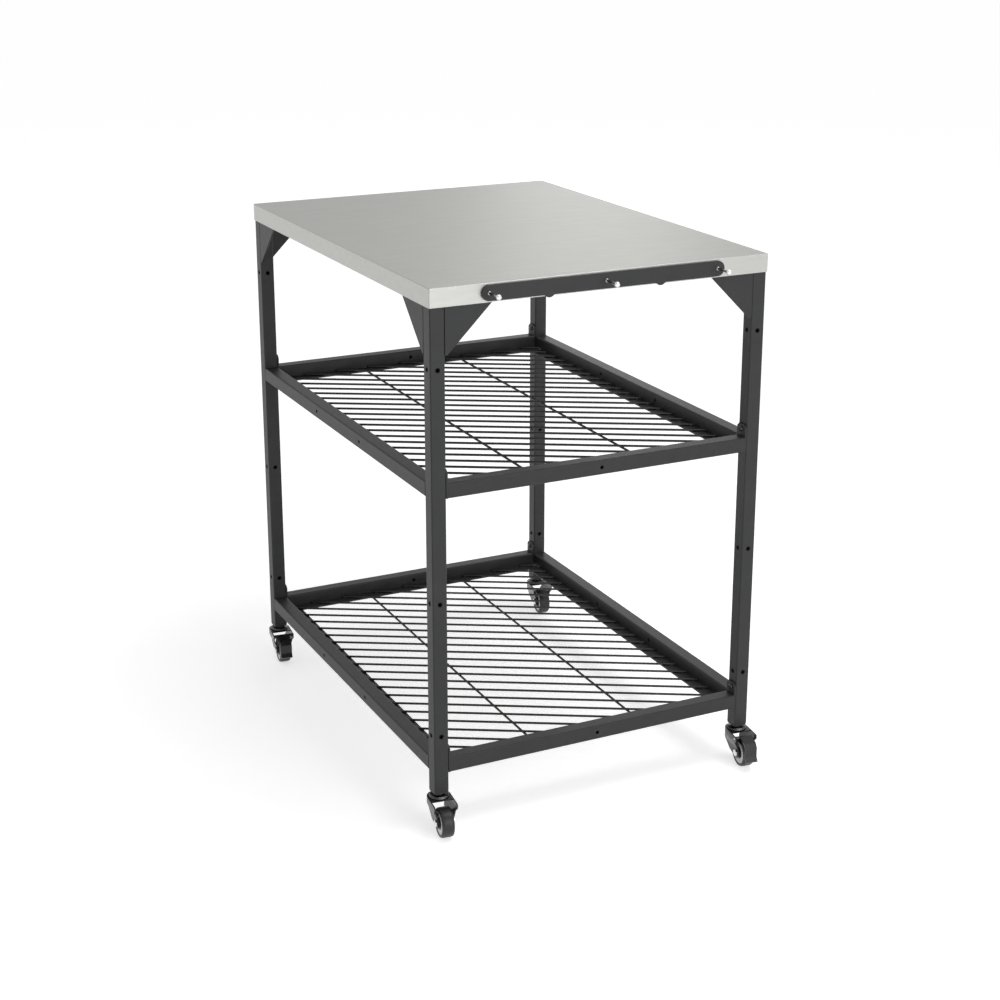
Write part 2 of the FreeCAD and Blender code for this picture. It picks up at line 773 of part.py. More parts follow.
def draw_half_round(sketch, x, y, radius):
    """A half disc to the right of the upright axis, closed along that axis."""
    centre = V(size(x).value, size(y).value, 0)
    r = size(radius).value
    circle = Part.Circle(centre, UPWARD, r)
    arc = sketch.addGeometry(Part.ArcOfCircle(circle, -math.pi / 2, math.pi / 2), False)
    line = sketch.addGeometry(Part.LineSegment(centre + V(0, r, 0), centre - V(0, r, 0)), False)
    sketch.addConstraint(Sketcher.Constraint("Coincident", arc, 2, line, 1))
    sketch.addConstraint(Sketcher.Constraint("Coincident", line, 2, arc, 1))
    sketch.addConstraint(Sketcher.Constraint("PointOnObject", arc, 3, line))
    pin_down(sketch, arc, 3, x, y)
    bind_radius(sketch, arc, radius)
    sketch.addConstraint(Sketcher.Constraint("Vertical", line))


# The casters. Each is built round its swivel axis, trailing towards its own -y.

def caster_place(item, side, end, height, tilt=None):
    """Puts a caster's piece on its leg's axis, turned by the heading."""
    turn = FreeCAD.Rotation(UPWARD, read("heading").value)
    rotation = turn if tilt is None else turn.multiply(tilt)
    place(item, leg_x * side, middle + leg_y * end, height, rotation)


def make_stem(corner, side, end):
    """Stem, hexagon collar, upper race and the rivet that the fork turns on."""
    name = f"stem_{corner}"
    body = new_body(name)
    race_foot = fork_top + read("race_gap")
    race_top = race_foot + read("race_height")
    half = new_sketch(body, name + "_profile", "XZ_Plane")
    pin, head = kingpin / 2, kingpin / 2 + fork_sheet
    rivet_top = fork_top - fork_sheet - read("race_gap")
    rivet_foot = rivet_top - fork_sheet
    stem_top = plug_face + read("stem_length")
    lip = read("race") / 2
    draw_polygon(
        half,
        [
            (0, rivet_foot),
            (head, rivet_foot),
            (head, rivet_top),
            (pin, rivet_top),
            (pin, race_foot),
            (lip, race_foot),
            (lip - fork_sheet, race_top),
            (stem / 2, race_top),
            (stem / 2, stem_top),
            (0, stem_top),
        ],
    )
    revolve(body, half)
    collar = new_sketch(body, name + "_collar", offset=race_top)
    draw_hexagon(collar, 0, 0, read("stem_hex"))
    pad(body, collar, plug_face - race_top)
    caster_place(body, side, end, 0)
    return body


def draw_cheek(sketch):
    """The fork seen from the side: its trailing end lies towards the sketch's -x."""
    r = read("fork_end")
    behind = read("fork_plate") / 2
    axle_height = wheel / 2
    draw_polygon(
        sketch,
        [
            (behind, fork_top),
            (behind, read("fork_shoulder") - fork_sheet),
            (behind * 0.65, read("fork_waist")),
            (-trail * 0.15, axle_height - r * 0.4),
            (-trail + r * 0.6, axle_height - r * 0.9),
            (-trail - r * 0.3, axle_height - r),
            (-trail - r * 0.8, axle_height - r * 0.5),
            (-trail - r * 0.8, axle_height + r),
            (-trail - r * 0.4, read("fork_shoulder") - fork_sheet * 2),
            (-pedal_trail - r * 0.6, pedal_height - r * 0.4),
            (-pedal_trail - r * 0.6, fork_top - 1),
            (-pedal_trail - r * 0.4, fork_top),
        ],
    )


def draw_fork_front(sketch, inset, top, bottom):
    """Half of the fork seen from the front, from the middle to a cheek's face."""
    shoulder = read("fork_plate") / 2 - inset
    waist = fork_gap / 2 + fork_sheet - inset
    draw_polygon(
        sketch,
        [
            (-waist, bottom),
            (waist, bottom),
            (waist, read("fork_waist")),
            (shoulder, read("fork_shoulder")),
            (shoulder, top),
            (-shoulder, top),
            (-shoulder, read("fork_shoulder")),
            (-waist, read("fork_waist")),
        ],
    )


def make_fork(corner, side, end, braked):
    """The pressed fork: a top plate and two cheeks that draw in towards the axle."""
    name = f"caster_fork_{corner}"
    body = new_body(name)
    across = read("fork_plate")
    outline = new_sketch(body, name + "_side", "YZ_Plane")
    draw_cheek(outline)
    pad(body, outline, across, midway=True)
    trim = new_sketch(body, name + "_trim", "XZ_Plane")
    above, beside = fork_top + 5, across
    draw_polygon(trim, [(-beside, 1), (beside, 1), (beside, above), (-beside, above)])
    draw_fork_front(trim, 0, fork_top + 2, size(4))
    pocket(body, trim)
    hollow = new_sketch(body, name + "_hollow", "XZ_Plane")
    draw_fork_front(hollow, fork_sheet, fork_top - fork_sheet, size(2))
    pocket(body, hollow)
    crown = new_sketch(body, name + "_crown")
    draw_polygon(
        crown,
        [(-across, -caster_reach), (across, -caster_reach), (across, across), (-across, across)],
    )
    draw_crown(crown, across / 2, -caster_reach + 1)
    pocket(body, crown)
    window = new_sketch(body, name + "_window", offset=fork_top - fork_sheet * 2)
    half = across / 2 - fork_sheet
    edge = -across / 2 + 1
    draw_polygon(window, [(-half, -caster_reach), (half, -caster_reach), (half, edge), (-half, edge)])
    pocket(body, window, fork_sheet * 3, reverse=True)
    bore = new_sketch(body, name + "_kingpin_bore", offset=fork_top - fork_sheet)
    draw_octagon(bore, 0, 0, kingpin / 2 + fit)
    pocket(body, bore, fork_sheet, reverse=True)
    holes = new_sketch(body, name + "_pin_holes", "YZ_Plane")
    draw_octagon(holes, -trail, wheel / 2, axle / 2 + fit)
    if braked:
        draw_octagon(holes, -pedal_trail, pedal_height, pedal_pin / 2 + fit)
    pocket(body, holes)
    caster_place(body, side, end, 0)
    return node(body, name)


def draw_crown(sketch, radius, front):
    """The fork seen from above: half round behind, straight sides in front."""
    r, y = size(radius).value, size(front).value
    circle = Part.Circle(ORIGIN, UPWARD, r)
    arc = sketch.addGeometry(Part.ArcOfCircle(circle, 0, math.pi), False)
    left = sketch.addGeometry(Part.LineSegment(V(-r, 0, 0), V(-r, y, 0)), False)
    base = sketch.addGeometry(Part.LineSegment(V(-r, y, 0), V(r, y, 0)), False)
    right = sketch.addGeometry(Part.LineSegment(V(r, y, 0), V(r, 0, 0)), False)
    for one, its_end, other, other_end in (
        (arc, 2, left, 1),
        (left, 2, base, 1),
        (base, 2, right, 1),
        (right, 2, arc, 1),
    ):
        sketch.addConstraint(Sketcher.Constraint("Coincident", one, its_end, other, other_end))
    sketch.addConstraint(Sketcher.Constraint("Coincident", arc, 3, -1, 1))
    bind_radius(sketch, arc, radius)
    sketch.addConstraint(Sketcher.Constraint("Vertical", left))
    sketch.addConstraint(Sketcher.Constraint("Vertical", right))
    sketch.addConstraint(Sketcher.Constraint("Horizontal", base))
    index = sketch.addConstraint(Sketcher.Constraint("DistanceY", -1, 1, base, 1, y))
    sketch.setExpression(f"Constraints[{index}]", size(front).text)


def make_pins(corner, side, end, braked):
    """The axle bolt with its head and nut outside the cheeks, and the pedal's pin."""
    name = f"axle_{corner}"
    body = new_body(name)
    outside = fork_gap / 2 + fork_sheet
    rod = new_sketch(body, name + "_rod", "YZ_Plane")
    draw_circle(rod, -trail, wheel / 2, axle / 2)
    pad(body, rod, outside * 2, midway=True)
    for cap, sign in (("head", -1), ("nut", 1)):
        crown = new_sketch(body, f"{name}_{cap}", "YZ_Plane", outside * sign)
        draw_hexagon(crown, -trail, wheel / 2, read("axle_head"))
        pad(body, crown, read("axle_head_height"), reverse=(sign < 0))
    caster_place(body, side, end, 0)
    pieces = [body]
    if braked:
        pin = new_body(f"pedal_pin_{corner}")
        bar = new_sketch(pin, f"pedal_pin_{corner}_rod", "YZ_Plane")
        draw_circle(bar, -pedal_trail, pedal_height, pedal_pin / 2)
        pad(pin, bar, read("fork_plate") + 2, midway=True)
        caster_place(pin, side, end, 0)
        pieces.append(pin)
    return group(f"caster_pins_{corner}", pieces)


def wheel_place(item, side, end):
    """Puts a wheel's piece, turned about its own z, on its axle."""
    heading = math.radians(read("heading").value)
    x = leg_x * side + trail * math.sin(heading)
    y = middle + leg_y * end - trail * math.cos(heading)
    tilt = FreeCAD.Rotation(ALONG_Y, 90)
    rotation = FreeCAD.Rotation(UPWARD, read("heading").value).multiply(tilt)
    place(item, x, y, wheel / 2, rotation)


def make_tyre(corner, side, end):
    name = f"tyre_{corner}"
    body = new_body(name)
    half = read("wheel_width") / 2
    wheel_disc(body, name + "_tread", "Additive", wheel / 2, -half, half)

    def on_end_rim(edge):
        return edge.BoundBox.ZLength < NEAR

    bevel_edges(body, name + "_shoulders", half * 0.3, on_end_rim)
    wheel_disc(body, name + "_seat", "Subtractive", read("core") / 2, -half, half)
    wheel_place(body, side, end)
    return node(body, name)


def make_wheel_core(corner, side, end):
    """The light plastic core: rim, web and a long hub on the axle."""
    name = f"wheel_core_{corner}"
    body = new_body(name)
    half, hub_half = read("core_width") / 2, fork_gap / 2 - fit * 4
    bore, boss = axle / 2 + fit, read("core_boss") / 2
    rim_in, rim_out = read("core") / 2 - read("core_rim"), read("core") / 2
    web = read("core_web") / 2
    wheel_disc(body, name + "_rim", "Additive", rim_out, -half, half)
    wheel_disc(body, name + "_dish_left", "Subtractive", rim_in, -half, -web)
    wheel_disc(body, name + "_dish_right", "Subtractive", rim_in, web, half)
    wheel_disc(body, name + "_hub", "Additive", boss, -hub_half, hub_half)
    opening = new_sketch(body, name + "_bore")
    draw_circle(opening, 0, 0, bore)
    pocket(body, opening)
    wheel_place(body, side, end)
    return node(body, name)


def make_pedal(corner, side, end):
    """The brake pedal: a sleeve on its pin and a plate that hangs in front of the tyre."""
    name = f"brake_pedal_{corner}"
    body = new_body(name)
    barrel, thick, lip = read("pedal_barrel"), read("pedal_sheet"), read("pedal_lip")
    y, z = -pedal_trail, pedal_height
    axle_height = wheel / 2
    front = -pedal_front
    inner = front + thick
    plate = new_sketch(body, name + "_plate", "YZ_Plane")
    draw_polygon(
        plate,
        [
            (y, z + barrel),
            (y - barrel, z + barrel),
            (front + thick * 2, z - barrel * 0.8),
            (front, z - barrel * 3),
            (front, axle_height + thick),
            (front - lip, axle_height - lip),
            (front - lip + thick, axle_height - lip - thick * 0.8),
            (inner, axle_height + thick * 0.6),
            (inner, z - barrel * 3.3),
            (inner + thick * 2, z - barrel * 1.7),
            (y - barrel, z + barrel - thick),
            (y, z + barrel - thick),
        ],
    )
    pad(body, plate, read("pedal_width"), midway=True)
    sleeve = new_sketch(body, name + "_sleeve", "YZ_Plane")
    draw_circle(sleeve, y, z, barrel)
    pad(body, sleeve, read("fork_plate") - fork_sheet * 2 - fit * 8, midway=True)
    bore = new_sketch(body, name + "_bore", "YZ_Plane")
    draw_circle(bore, y, z, pedal_pin / 2 + fit)
    pocket(body, bore)
    caster_place(body, side, end, 0)
    return node(body, name)


def write_nodes():
    """Stops at anything broken, then writes each node to its own file."""
    doc.recompute()
    for item in doc.Objects:
        if "Invalid" in item.State or "Error" in item.State:
            raise SystemExit(f"{item.Name} ({item.Label}): {item.State}")
    os.makedirs("parts", exist_ok=True)
    for item in nodes:
        shape = item.Shape
        if shape.isNull() or not shape.isValid() or not shape.Solids:
            raise SystemExit(f"{item.Label} has no valid solid")
    for item in nodes:
        item.Shape.exportStep(f"parts/{item.Label}.step")
        print(item.Label, len(item.Shape.Solids), round(item.Shape.Volume / 1000, 2))


make_tabletop()
make_top_frame()
for place_name, x_side, y_end in CORNERS:
    make_leg(place_name, x_side, y_end)
group("leg_plugs", [make_plug(*corner) for corner in CORNERS])
make_shelf_fixings()
for shelf_name, underside in SHELVES.items():
    make_shelf(shelf_name, underside)
make_braces()
make_rack()
group("caster_stems", [make_stem(*corner) for corner in CORNERS])
for corner, x_side, y_end in CORNERS:
    # only one caster of each side has a brake
    braked = corner in BRAKED
    make_fork(corner, x_side, y_end, braked)
    make_pins(corner, x_side, y_end, braked)
    make_tyre(corner, x_side, y_end)
    make_wheel_core(corner, x_side, y_end)
    if braked:
        make_pedal(corner, x_side, y_end)
write_nodes()
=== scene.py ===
import json
import math

import bmesh
import bpy
from mathutils import Matrix, Vector


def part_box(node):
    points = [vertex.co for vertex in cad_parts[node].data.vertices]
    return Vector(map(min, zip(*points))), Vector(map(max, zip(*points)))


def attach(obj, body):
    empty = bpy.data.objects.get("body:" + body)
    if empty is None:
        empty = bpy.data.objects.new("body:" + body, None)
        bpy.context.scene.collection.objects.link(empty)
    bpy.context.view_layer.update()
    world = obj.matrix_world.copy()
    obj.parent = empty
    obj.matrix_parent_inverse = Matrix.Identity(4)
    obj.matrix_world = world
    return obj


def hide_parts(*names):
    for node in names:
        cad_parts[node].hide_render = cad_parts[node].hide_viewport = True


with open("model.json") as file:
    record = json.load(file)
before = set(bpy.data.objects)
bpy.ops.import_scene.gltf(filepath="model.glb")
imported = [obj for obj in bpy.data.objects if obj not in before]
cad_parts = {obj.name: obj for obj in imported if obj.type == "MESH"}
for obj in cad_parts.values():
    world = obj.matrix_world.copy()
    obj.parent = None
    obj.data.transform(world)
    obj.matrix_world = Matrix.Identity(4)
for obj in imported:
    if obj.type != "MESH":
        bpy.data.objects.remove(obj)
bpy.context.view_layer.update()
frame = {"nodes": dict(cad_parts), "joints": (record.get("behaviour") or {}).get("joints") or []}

MM = 0.001
UP = Vector((0, 0, 1))
CORNERS = ("front_left", "front_right", "back_left", "back_right")
BRAKED = ("front_right", "back_left")
SHELVES = ("low", "high")
ENDS = ("front", "back", "left", "right")
JOINTS = {joint["name"]: joint for joint in frame["joints"]}

# Edges: how far they are rounded, and the bend from which an edge counts as sharp.
EDGE = 0.45 * MM
SHARP = math.radians(30)

# In turned pieces and in copies of the solids, points this close are one point. Faces of a
# copy that bend less than the last value are one flat face.
TURNED_MERGE = 0.001 * MM
COPY_MERGE = 0.002 * MM
COPY_FLAT = math.radians(0.5)

# The worktop's tray.
TRAY_SHEET = 1.5 * MM
TRAY_CORNER = 2 * MM
TRAY_BEND = 1.2 * MM

# The shelf grids. The wires end a little shy of the rails, and a weld bead sits near each end.
WIRE = 4 * MM
WIRE_SIDES = 14
WIRE_STUB = WIRE * 10
WIRE_SHY = 2.05 * MM
WIRE_PITCH = 37 * MM
WIRE_START = 23.5 * MM
WIRE_ANGLE = math.radians(29.3)
CROSS_WIRE_GAP = 200 * MM
WELD_INSET = 7 * MM
WELD = (3.4 * MM, 3.0 * MM, 1.7 * MM)

# The screws in the shelf tabs. Head, key and washer go by their radii.
SCREW_HEIGHT = 38 * MM
TAB_SHEET = 3 * MM
SCREW_HEAD = 4.95 * MM
SCREW_TOP = 3 * MM
HEX_KEY = 1.9 * MM
KEY_FLOOR = 1.2 * MM
WASHER_BORE = 3 * MM
WASHER_TOP = 0.7 * MM

# The threaded inserts in the legs' spare holes, by their radii. Their wide flange is near-black as
# painted shade, so that it reads as the dark inside of the hole.
SPARE_HEIGHTS = (168 * MM, 396 * MM, 776 * MM)
INSERT_FLANGE = 4.2 * MM
INSERT_SLEEVE = 3.3 * MM
INSERT_LENGTH = 7 * MM
THREADS = 7
THREAD_START = 1.2 * MM
THREAD_PITCH = 0.8 * MM
THREAD_ROOT = 3.1 * MM
THREAD_CREST = 2.8 * MM

# The tool rack. Pegs and balls go by their diameters. The pole is the angle of the small flat
# that closes each ball.
PEG = 5 * MM
PEG_NECK = 4.2 * MM
PEG_TAIL = 4 * MM
BALL = 9 * MM
BALL_STEPS = 12
BALL_POLE = 0.12
PEG_GAP = 202 * MM

# The wheels, by their diameters. By the seat, the tyre stays off the pale ring and the hub
# reaches into it.
WHEEL = 50 * MM
TYRE_WIDTH = 21 * MM
CORE = 39 * MM
CORE_RIM = 8.6 * MM
CORE_WIDTH = 19 * MM
BORE = 6.1 * MM
HUB = 13 * MM
HUB_WIDTH = 23.6 * MM
HUB_WEB = 4 * MM
RIBS = 6
RIB_SHEET = 1.8 * MM
RIB_WIDTH = 16 * MM
SEAT = 0.02 * MM

# The casters' bolts, collars and races. Hexagons are measured across their flats, and the race
# is a diameter.
FORK_OUTSIDE = 28 * MM
AXLE_HEAD = 11 * MM
AXLE_HEAD_HEIGHT = 3 * MM
AXLE_FIT = 0.06 * MM
COLLAR = 17 * MM
RACE = 34 * MM
RACE_FOOT = 58.4 * MM
RACE_HEIGHT = 4 * MM

# The stem, the kingpin under it and the brake's pin, by their radii.
STEM = 5 * MM
KINGPIN = 4 * MM
KINGPIN_HEAD = 5.9 * MM
KINGPIN_SEAT = 55.6 * MM
BRAKE_PIN_LENGTH = 40 * MM
BRAKE_PIN_HEAD = 1.75 * MM

# The darkest and the lightest tone of each finish.
TONES = {
    "worktop_steel": ((0.445, 0.447, 0.425), (0.475, 0.477, 0.455)),
    "powder_coat": ((0.0225, 0.023, 0.0243), (0.0275, 0.028, 0.0295)),
    "wire_coat": ((0.01, 0.01, 0.0105), (0.014, 0.014, 0.0145)),
    # The pegs are one chrome: the rods' tone is lowered as painted shade of their dark reflections,
    # and the balls' raised as painted highlight.
    "peg_steel": ((0.36, 0.36, 0.36), (0.46, 0.46, 0.45)),
    "ball_steel_painted_highlight": ((0.88, 0.88, 0.87), (0.93, 0.93, 0.92)),
    "screw_steel": ((0.78, 0.78, 0.77), (0.86, 0.86, 0.84)),
    "dark_screw": ((0.06, 0.06, 0.062), (0.1, 0.1, 0.1)),
    # Near-black, painted shade: the insert's flange stands in for the dark inside of its hole.
    "insert_painted_hole_shade": ((0.012, 0.012, 0.012), (0.02, 0.02, 0.02)),
    "black_plastic": ((0.017, 0.017, 0.018), (0.026, 0.026, 0.027)),
    "caster_black": ((0.012, 0.012, 0.0125), (0.018, 0.018, 0.0185)),
    "caster_metal": ((0.09, 0.09, 0.092), (0.14, 0.14, 0.14)),
    "tyre": ((0.009, 0.009, 0.0095), (0.014, 0.014, 0.0145)),
    "hub_plastic": ((0.012, 0.012, 0.0125), (0.018, 0.018, 0.0185)),
    "core_plastic": ((0.88, 0.88, 0.87), (0.92, 0.92, 0.91)),
}

# Where each finish's noise turns from the dark tone to the light one.
DARK_END = 0.3
LIGHT_END = 0.7

# The scale of brushed steel's noise along its grain, where less is longer: fine scratches, and
# soft bands of tone.
SCRATCH_SCALE = 0.02
BAND_SCALE = 0.15

# The floor, in metres, and the light that it adds near the object and further out.
FLOOR_SIDE = 120
FLOOR_TONE = (0.95, 0.95, 0.95, 1)
NEAR_AREA = 1.0
FAR_AREA = 4.0
NEAR_LIFT = 0.59
FAR_LIFT = 0.66

# The studio round it. The wall turns to the darker ceiling between two heights of the sky.
ROOM_LIGHT = 0.53
CEILING_LIGHT = 0.6
WALL_TOP = 0.1
CEILING_START = 0.55

# The lamps: place, what it faces, power in watts, width and height.
LAMPS = {
    "front": ((0.5, -3.6, 1.4), (0, 0, 0.6), 34, 2.0, 1.7),
    "high": ((1.0, -0.7, 3.3), (0, 0, 0.3), 36, 1.7, 1.7),
    "left_panel": ((-3.2, 3.8, 0.8), (0, 0, 0.9), 5, 1.3, 1.3),
    "back_strip": ((3.45, 5.9, 1.9), (0, 0, 0.9), 15, 1.1, 3.0),
}

# The camera: its focal length and the row of its axis are in pixels of the photograph.
IMAGE = 1000
SENSOR = 36
FOCAL = 1864
AXIS_ROW = 450
CAMERA_PLACE = (-1.3885, -2.851, 1.5095)
CAMERA_TURN = math.radians(25.97)
CAMERA_TILT = math.radians(17.58)


# Hands: selecting, editing and putting pieces down.

def only(piece):
    """Makes this piece the one that the next operator works on."""
    bpy.ops.object.select_all(action="DESELECT")
    piece.select_set(True)
    bpy.context.view_layer.objects.active = piece


def open_up(piece):
    """Edit mode, with nothing selected."""
    only(piece)
    bpy.ops.object.mode_set(mode="EDIT")
    bpy.ops.mesh.select_all(action="DESELECT")


def close_up():
    """Back to object mode."""
    bpy.ops.object.mode_set(mode="OBJECT")


def pick_faces(piece, wanted):
    """Selects the faces whose middle and normal pass the test."""
    bpy.ops.mesh.select_mode(type="FACE")
    mesh = bmesh.from_edit_mesh(piece.data)
    for face in mesh.faces:
        face.select = wanted(face.calc_center_median(), face.normal)
    bmesh.update_edit_mesh(piece.data)


def pick_edges(piece, wanted):
    """Selects the edges whose two ends pass the test."""
    bpy.ops.mesh.select_mode(type="EDGE")
    mesh = bmesh.from_edit_mesh(piece.data)
    for edge in mesh.edges:
        edge.select = wanted(edge.verts[0].co, edge.verts[1].co)
    bmesh.update_edit_mesh(piece.data)


def added(name):
    """The primitive that was just added, with its place moved into its mesh."""
    bpy.ops.object.transform_apply(location=True, rotation=True, scale=True)
    piece = bpy.context.object
    piece.name = name
    piece.data.name = name
    return piece


def box_between(name, low, high):
    """A block from its lowest to its highest corner."""
    low, high = Vector(low), Vector(high)
    bpy.ops.object.select_all(action="DESELECT")
    bpy.ops.mesh.primitive_cube_add(size=1, location=(low + high) / 2, scale=high - low)
    return added(name)


def rod(name, sides, radius, low, high):
    """A bar round z from one height to another."""
    bpy.ops.object.select_all(action="DESELECT")
    bpy.ops.mesh.primitive_cylinder_add(
        vertices=sides, radius=radius, depth=high - low, location=(0, 0, (low + high) / 2)
    )
    return added(name)


def turn_up(name, outline, sides=48, ring=False):
    """A piece turned round z: a circle is pulled along an outline of radius and height.

    A ring's outline closes on itself. Any other piece is capped at both ends.
    """
    radius, height = outline[0]
    bpy.ops.object.select_all(action="DESELECT")
    bpy.ops.mesh.primitive_circle_add(
        vertices=sides,
        radius=radius,
        location=(0, 0, height),
        fill_type="NOTHING" if ring else "NGON",
    )
    piece = added(name)
    bpy.ops.object.mode_set(mode="EDIT")
    bpy.ops.mesh.select_all(action="SELECT")
    following = outline[1:] + (outline[:1] if ring else [])
    for (r0, z0), (r1, z1) in zip(outline, following):
        bpy.ops.mesh.extrude_region_move(TRANSFORM_OT_translate={"value": (0, 0, z1 - z0)})
        bpy.ops.transform.resize(value=(r1 / r0, r1 / r0, 1), center_override=(0, 0, z1))
    bpy.ops.mesh.select_all(action="SELECT")
    bpy.ops.mesh.remove_doubles(threshold=TURNED_MERGE)
    bpy.ops.mesh.normals_make_consistent(inside=False)
    close_up()
    return piece


def use(piece, kind, name, **settings):
    """Adds a modifier and applies it at once."""
    only(piece)
    modifier = piece.modifiers.new(name, kind)
    for key, value in settings.items():
        setattr(modifier, key, value)
    bpy.ops.object.modifier_apply(modifier=modifier.name)
    return piece


def smooth(piece, degrees=35):
    """Smooth shading, with the edges above this angle kept sharp."""
    only(piece)
    bpy.ops.object.shade_smooth_by_angle(angle=math.radians(degrees))
    return piece


def true_flats(piece):
    """Leans the shading on the large faces, so that rounded edges leave them flat."""
    return use(piece, "WEIGHTED_NORMAL", "true_flats", weight=100, keep_sharp=True)


def eased(piece, width=EDGE, segments=2):
    """Rounds the sharp edges."""
    use(
        piece,
        "BEVEL",
        "eased_edges",
        width=width,
        segments=segments,
        limit_method="ANGLE",
        angle_limit=SHARP,
        use_clamp_overlap=True,
    )
    return true_flats(smooth(piece))


def twin(piece, name):
    """A copy with a mesh of its own."""
    copy = piece.copy()
    copy.data = piece.data.copy()
    copy.name = name
    copy.data.name = name
    bpy.context.collection.objects.link(copy)
    return copy


def put(piece, place, turn=None):
    """Turns and moves a piece, and leaves its object at the origin."""
    only(piece)
    piece.matrix_world = Matrix.Translation(place) @ (turn or Matrix.Identity(4))
    bpy.ops.object.transform_apply(location=True, rotation=True, scale=True)
    return piece


def facing(direction):
    """The turn that takes z to this direction."""
    return Vector(direction).to_track_quat("Z", "Y").to_matrix().to_4x4()


def lying_along(direction):
    """The turn that takes x to this direction."""
    return direction.to_track_quat("X", "Z").to_matrix().to_4x4()


def joined(name, parts):
    """Several pieces made one."""
    bpy.ops.object.select_all(action="DESELECT")
    for part in parts:
        part.select_set(True)
    bpy.context.view_layer.objects.active = parts[0]
    if len(parts) > 1:
        bpy.ops.object.join()
    piece = bpy.context.object
    piece.name = name
    piece.data.name = name
    return piece


def remove(piece):
    """Throws a pattern or a tool away."""
    bpy.data.objects.remove(piece, do_unlink=True)


def cut(piece, tool):
    """Takes a tool's shape out of a piece, and throws the tool away."""
    use(piece, "BOOLEAN", "cut", operation="DIFFERENCE", solver="EXACT", object=tool)
    remove(tool)
    return piece


def mirrored(outline):
    """An outline that goes on with its own mirror image."""
    return outline + [(radius, -height) for radius, height in reversed(outline)]


def finished(piece, finish, slot, body, *nodes):
    """Gives a piece its finish, the body that it rides on and the nodes it replaces; the slot is
    not used.
    """
    piece.data.materials.clear()
    piece.data.materials.append(finish)
    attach(piece, body)
    if nodes:
        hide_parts(*nodes)
    return piece


def eased_copy(node, name, width=EDGE, segments=2):
    """The carried-over solid with its flat faces made whole and its edges rounded."""
    piece = twin(frame["nodes"][node], name)
    piece.parent = None
    piece.matrix_world = Matrix.Identity(4)
    open_up(piece)
    bpy.ops.mesh.select_all(action="SELECT")
    bpy.ops.mesh.remove_doubles(threshold=COPY_MERGE)
    bpy.ops.mesh.dissolve_limited(angle_limit=COPY_FLAT)
    close_up()
    return eased(piece, width, segments)


# Finishes.

FINISH = {}


def shader_of(material):
    """The one shader of a finish."""
    return material.node_tree.nodes["Principled BSDF"]


def new_finish(name, metallic, roughness, shine=0.5):
    """A plain shader, kept in FINISH under its name."""
    material = bpy.data.materials.new(name)
    material.use_nodes = True
    shader = shader_of(material)
    shader.inputs["Metallic"].default_value = metallic
    shader.inputs["Roughness"].default_value = roughness
    shader.inputs["Specular IOR Level"].default_value = shine
    FINISH[name] = material
    return material


def add_node(owner, kind, settings=None, **values):
    """A new node in a material or a world, with its settings and the values of its inputs."""
    made = owner.node_tree.nodes.new(kind)
    for key, value in (settings or {}).items():
        setattr(made, key, value)
    for key, value in values.items():
        made.inputs[key.replace("_", " ")].default_value = value
    return made


def wire_up(owner, source, output, target, entry):
    """Links one node's output to another's input. Both go by name or by number."""
    owner.node_tree.links.new(source.outputs[output], target.inputs[entry])


def spread(owner, source, output, span, levels):
    """Takes a value from the start and end of a span to two levels, and holds it beyond them."""
    (start, end), (first, last) = span, levels
    made = add_node(
        owner,
        "ShaderNodeMapRange",
        From_Min=start,
        From_Max=end,
        To_Min=first,
        To_Max=last,
    )
    wire_up(owner, source, output, made, "Value")
    return made


def noise(material, scale, detail=2.0, axes=(1, 1, 1)):
    """A noise in the piece's own metres. An axis with a scale under 1 is drawn out."""
    coordinates = add_node(material, "ShaderNodeTexCoord")
    mapping = add_node(material, "ShaderNodeMapping", Scale=axes)
    cloud = add_node(material, "ShaderNodeTexNoise", Scale=scale, Detail=detail)
    wire_up(material, coordinates, "Object", mapping, "Vector")
    wire_up(material, mapping, "Vector", cloud, "Vector")
    return cloud


def tint(material, cloud, tones):
    """Drives the base colour from a noise, between two tones."""
    ramp = add_node(material, "ShaderNodeValToRGB")
    stops = ramp.color_ramp.elements
    for stop, position, tone in zip(stops, (DARK_END, LIGHT_END), tones):
        stop.position = position
        stop.color = (*tone, 1)
    wire_up(material, cloud, "Fac", ramp, "Fac")
    wire_up(material, ramp, "Color", shader_of(material), "Base Color")


def roughen(material, cloud, low, high):
    """Lets the roughness wander between two values."""
    wandering = spread(material, cloud, "Fac", (0, 1), (low, high))
    wire_up(material, wandering, "Result", shader_of(material), "Roughness")


def emboss(material, cloud, depth, below=None):
    """A fine relief of the given depth, over another one where that is given."""
    bump = add_node(material, "ShaderNodeBump", Distance=depth)
    wire_up(material, cloud, "Fac", bump, "Height")
    if below is not None:
        wire_up(material, below, "Normal", bump, "Normal")
    wire_up(material, bump, "Normal", shader_of(material), "Normal")
    return bump


def powder_coat(name, roughness, grain, shine=0.5):
    """Satin paint with the fine orange peel of a baked powder."""
    material = new_finish(name, 0.0, roughness, shine)
    tint(material, noise(material, scale=28, detail=3), TONES[name])
    roughen(material, noise(material, scale=160), roughness - 0.05, roughness + 0.06)
    peel = emboss(material, noise(material, scale=420), depth=grain)
    emboss(material, noise(material, scale=1900), depth=grain * 0.3, below=peel)


def brushed_steel(name, roughness, along):
    """Stainless sheet with a fine brushed grain along one axis."""
    material = new_finish(name, 1.0, roughness)
    scratch = tuple(SCRATCH_SCALE if axis == along else 1 for axis in "XYZ")
    band = tuple(BAND_SCALE if axis == along else 1 for axis in "XYZ")
    tint(material, noise(material, scale=120, detail=5, axes=band), TONES[name])
    scratches = noise(material, scale=900, detail=3, axes=scratch)
    roughen(material, scratches, roughness - 0.04, roughness + 0.05)
    emboss(material, noise(material, scale=1500, detail=3, axes=scratch), depth=0.03 * MM)


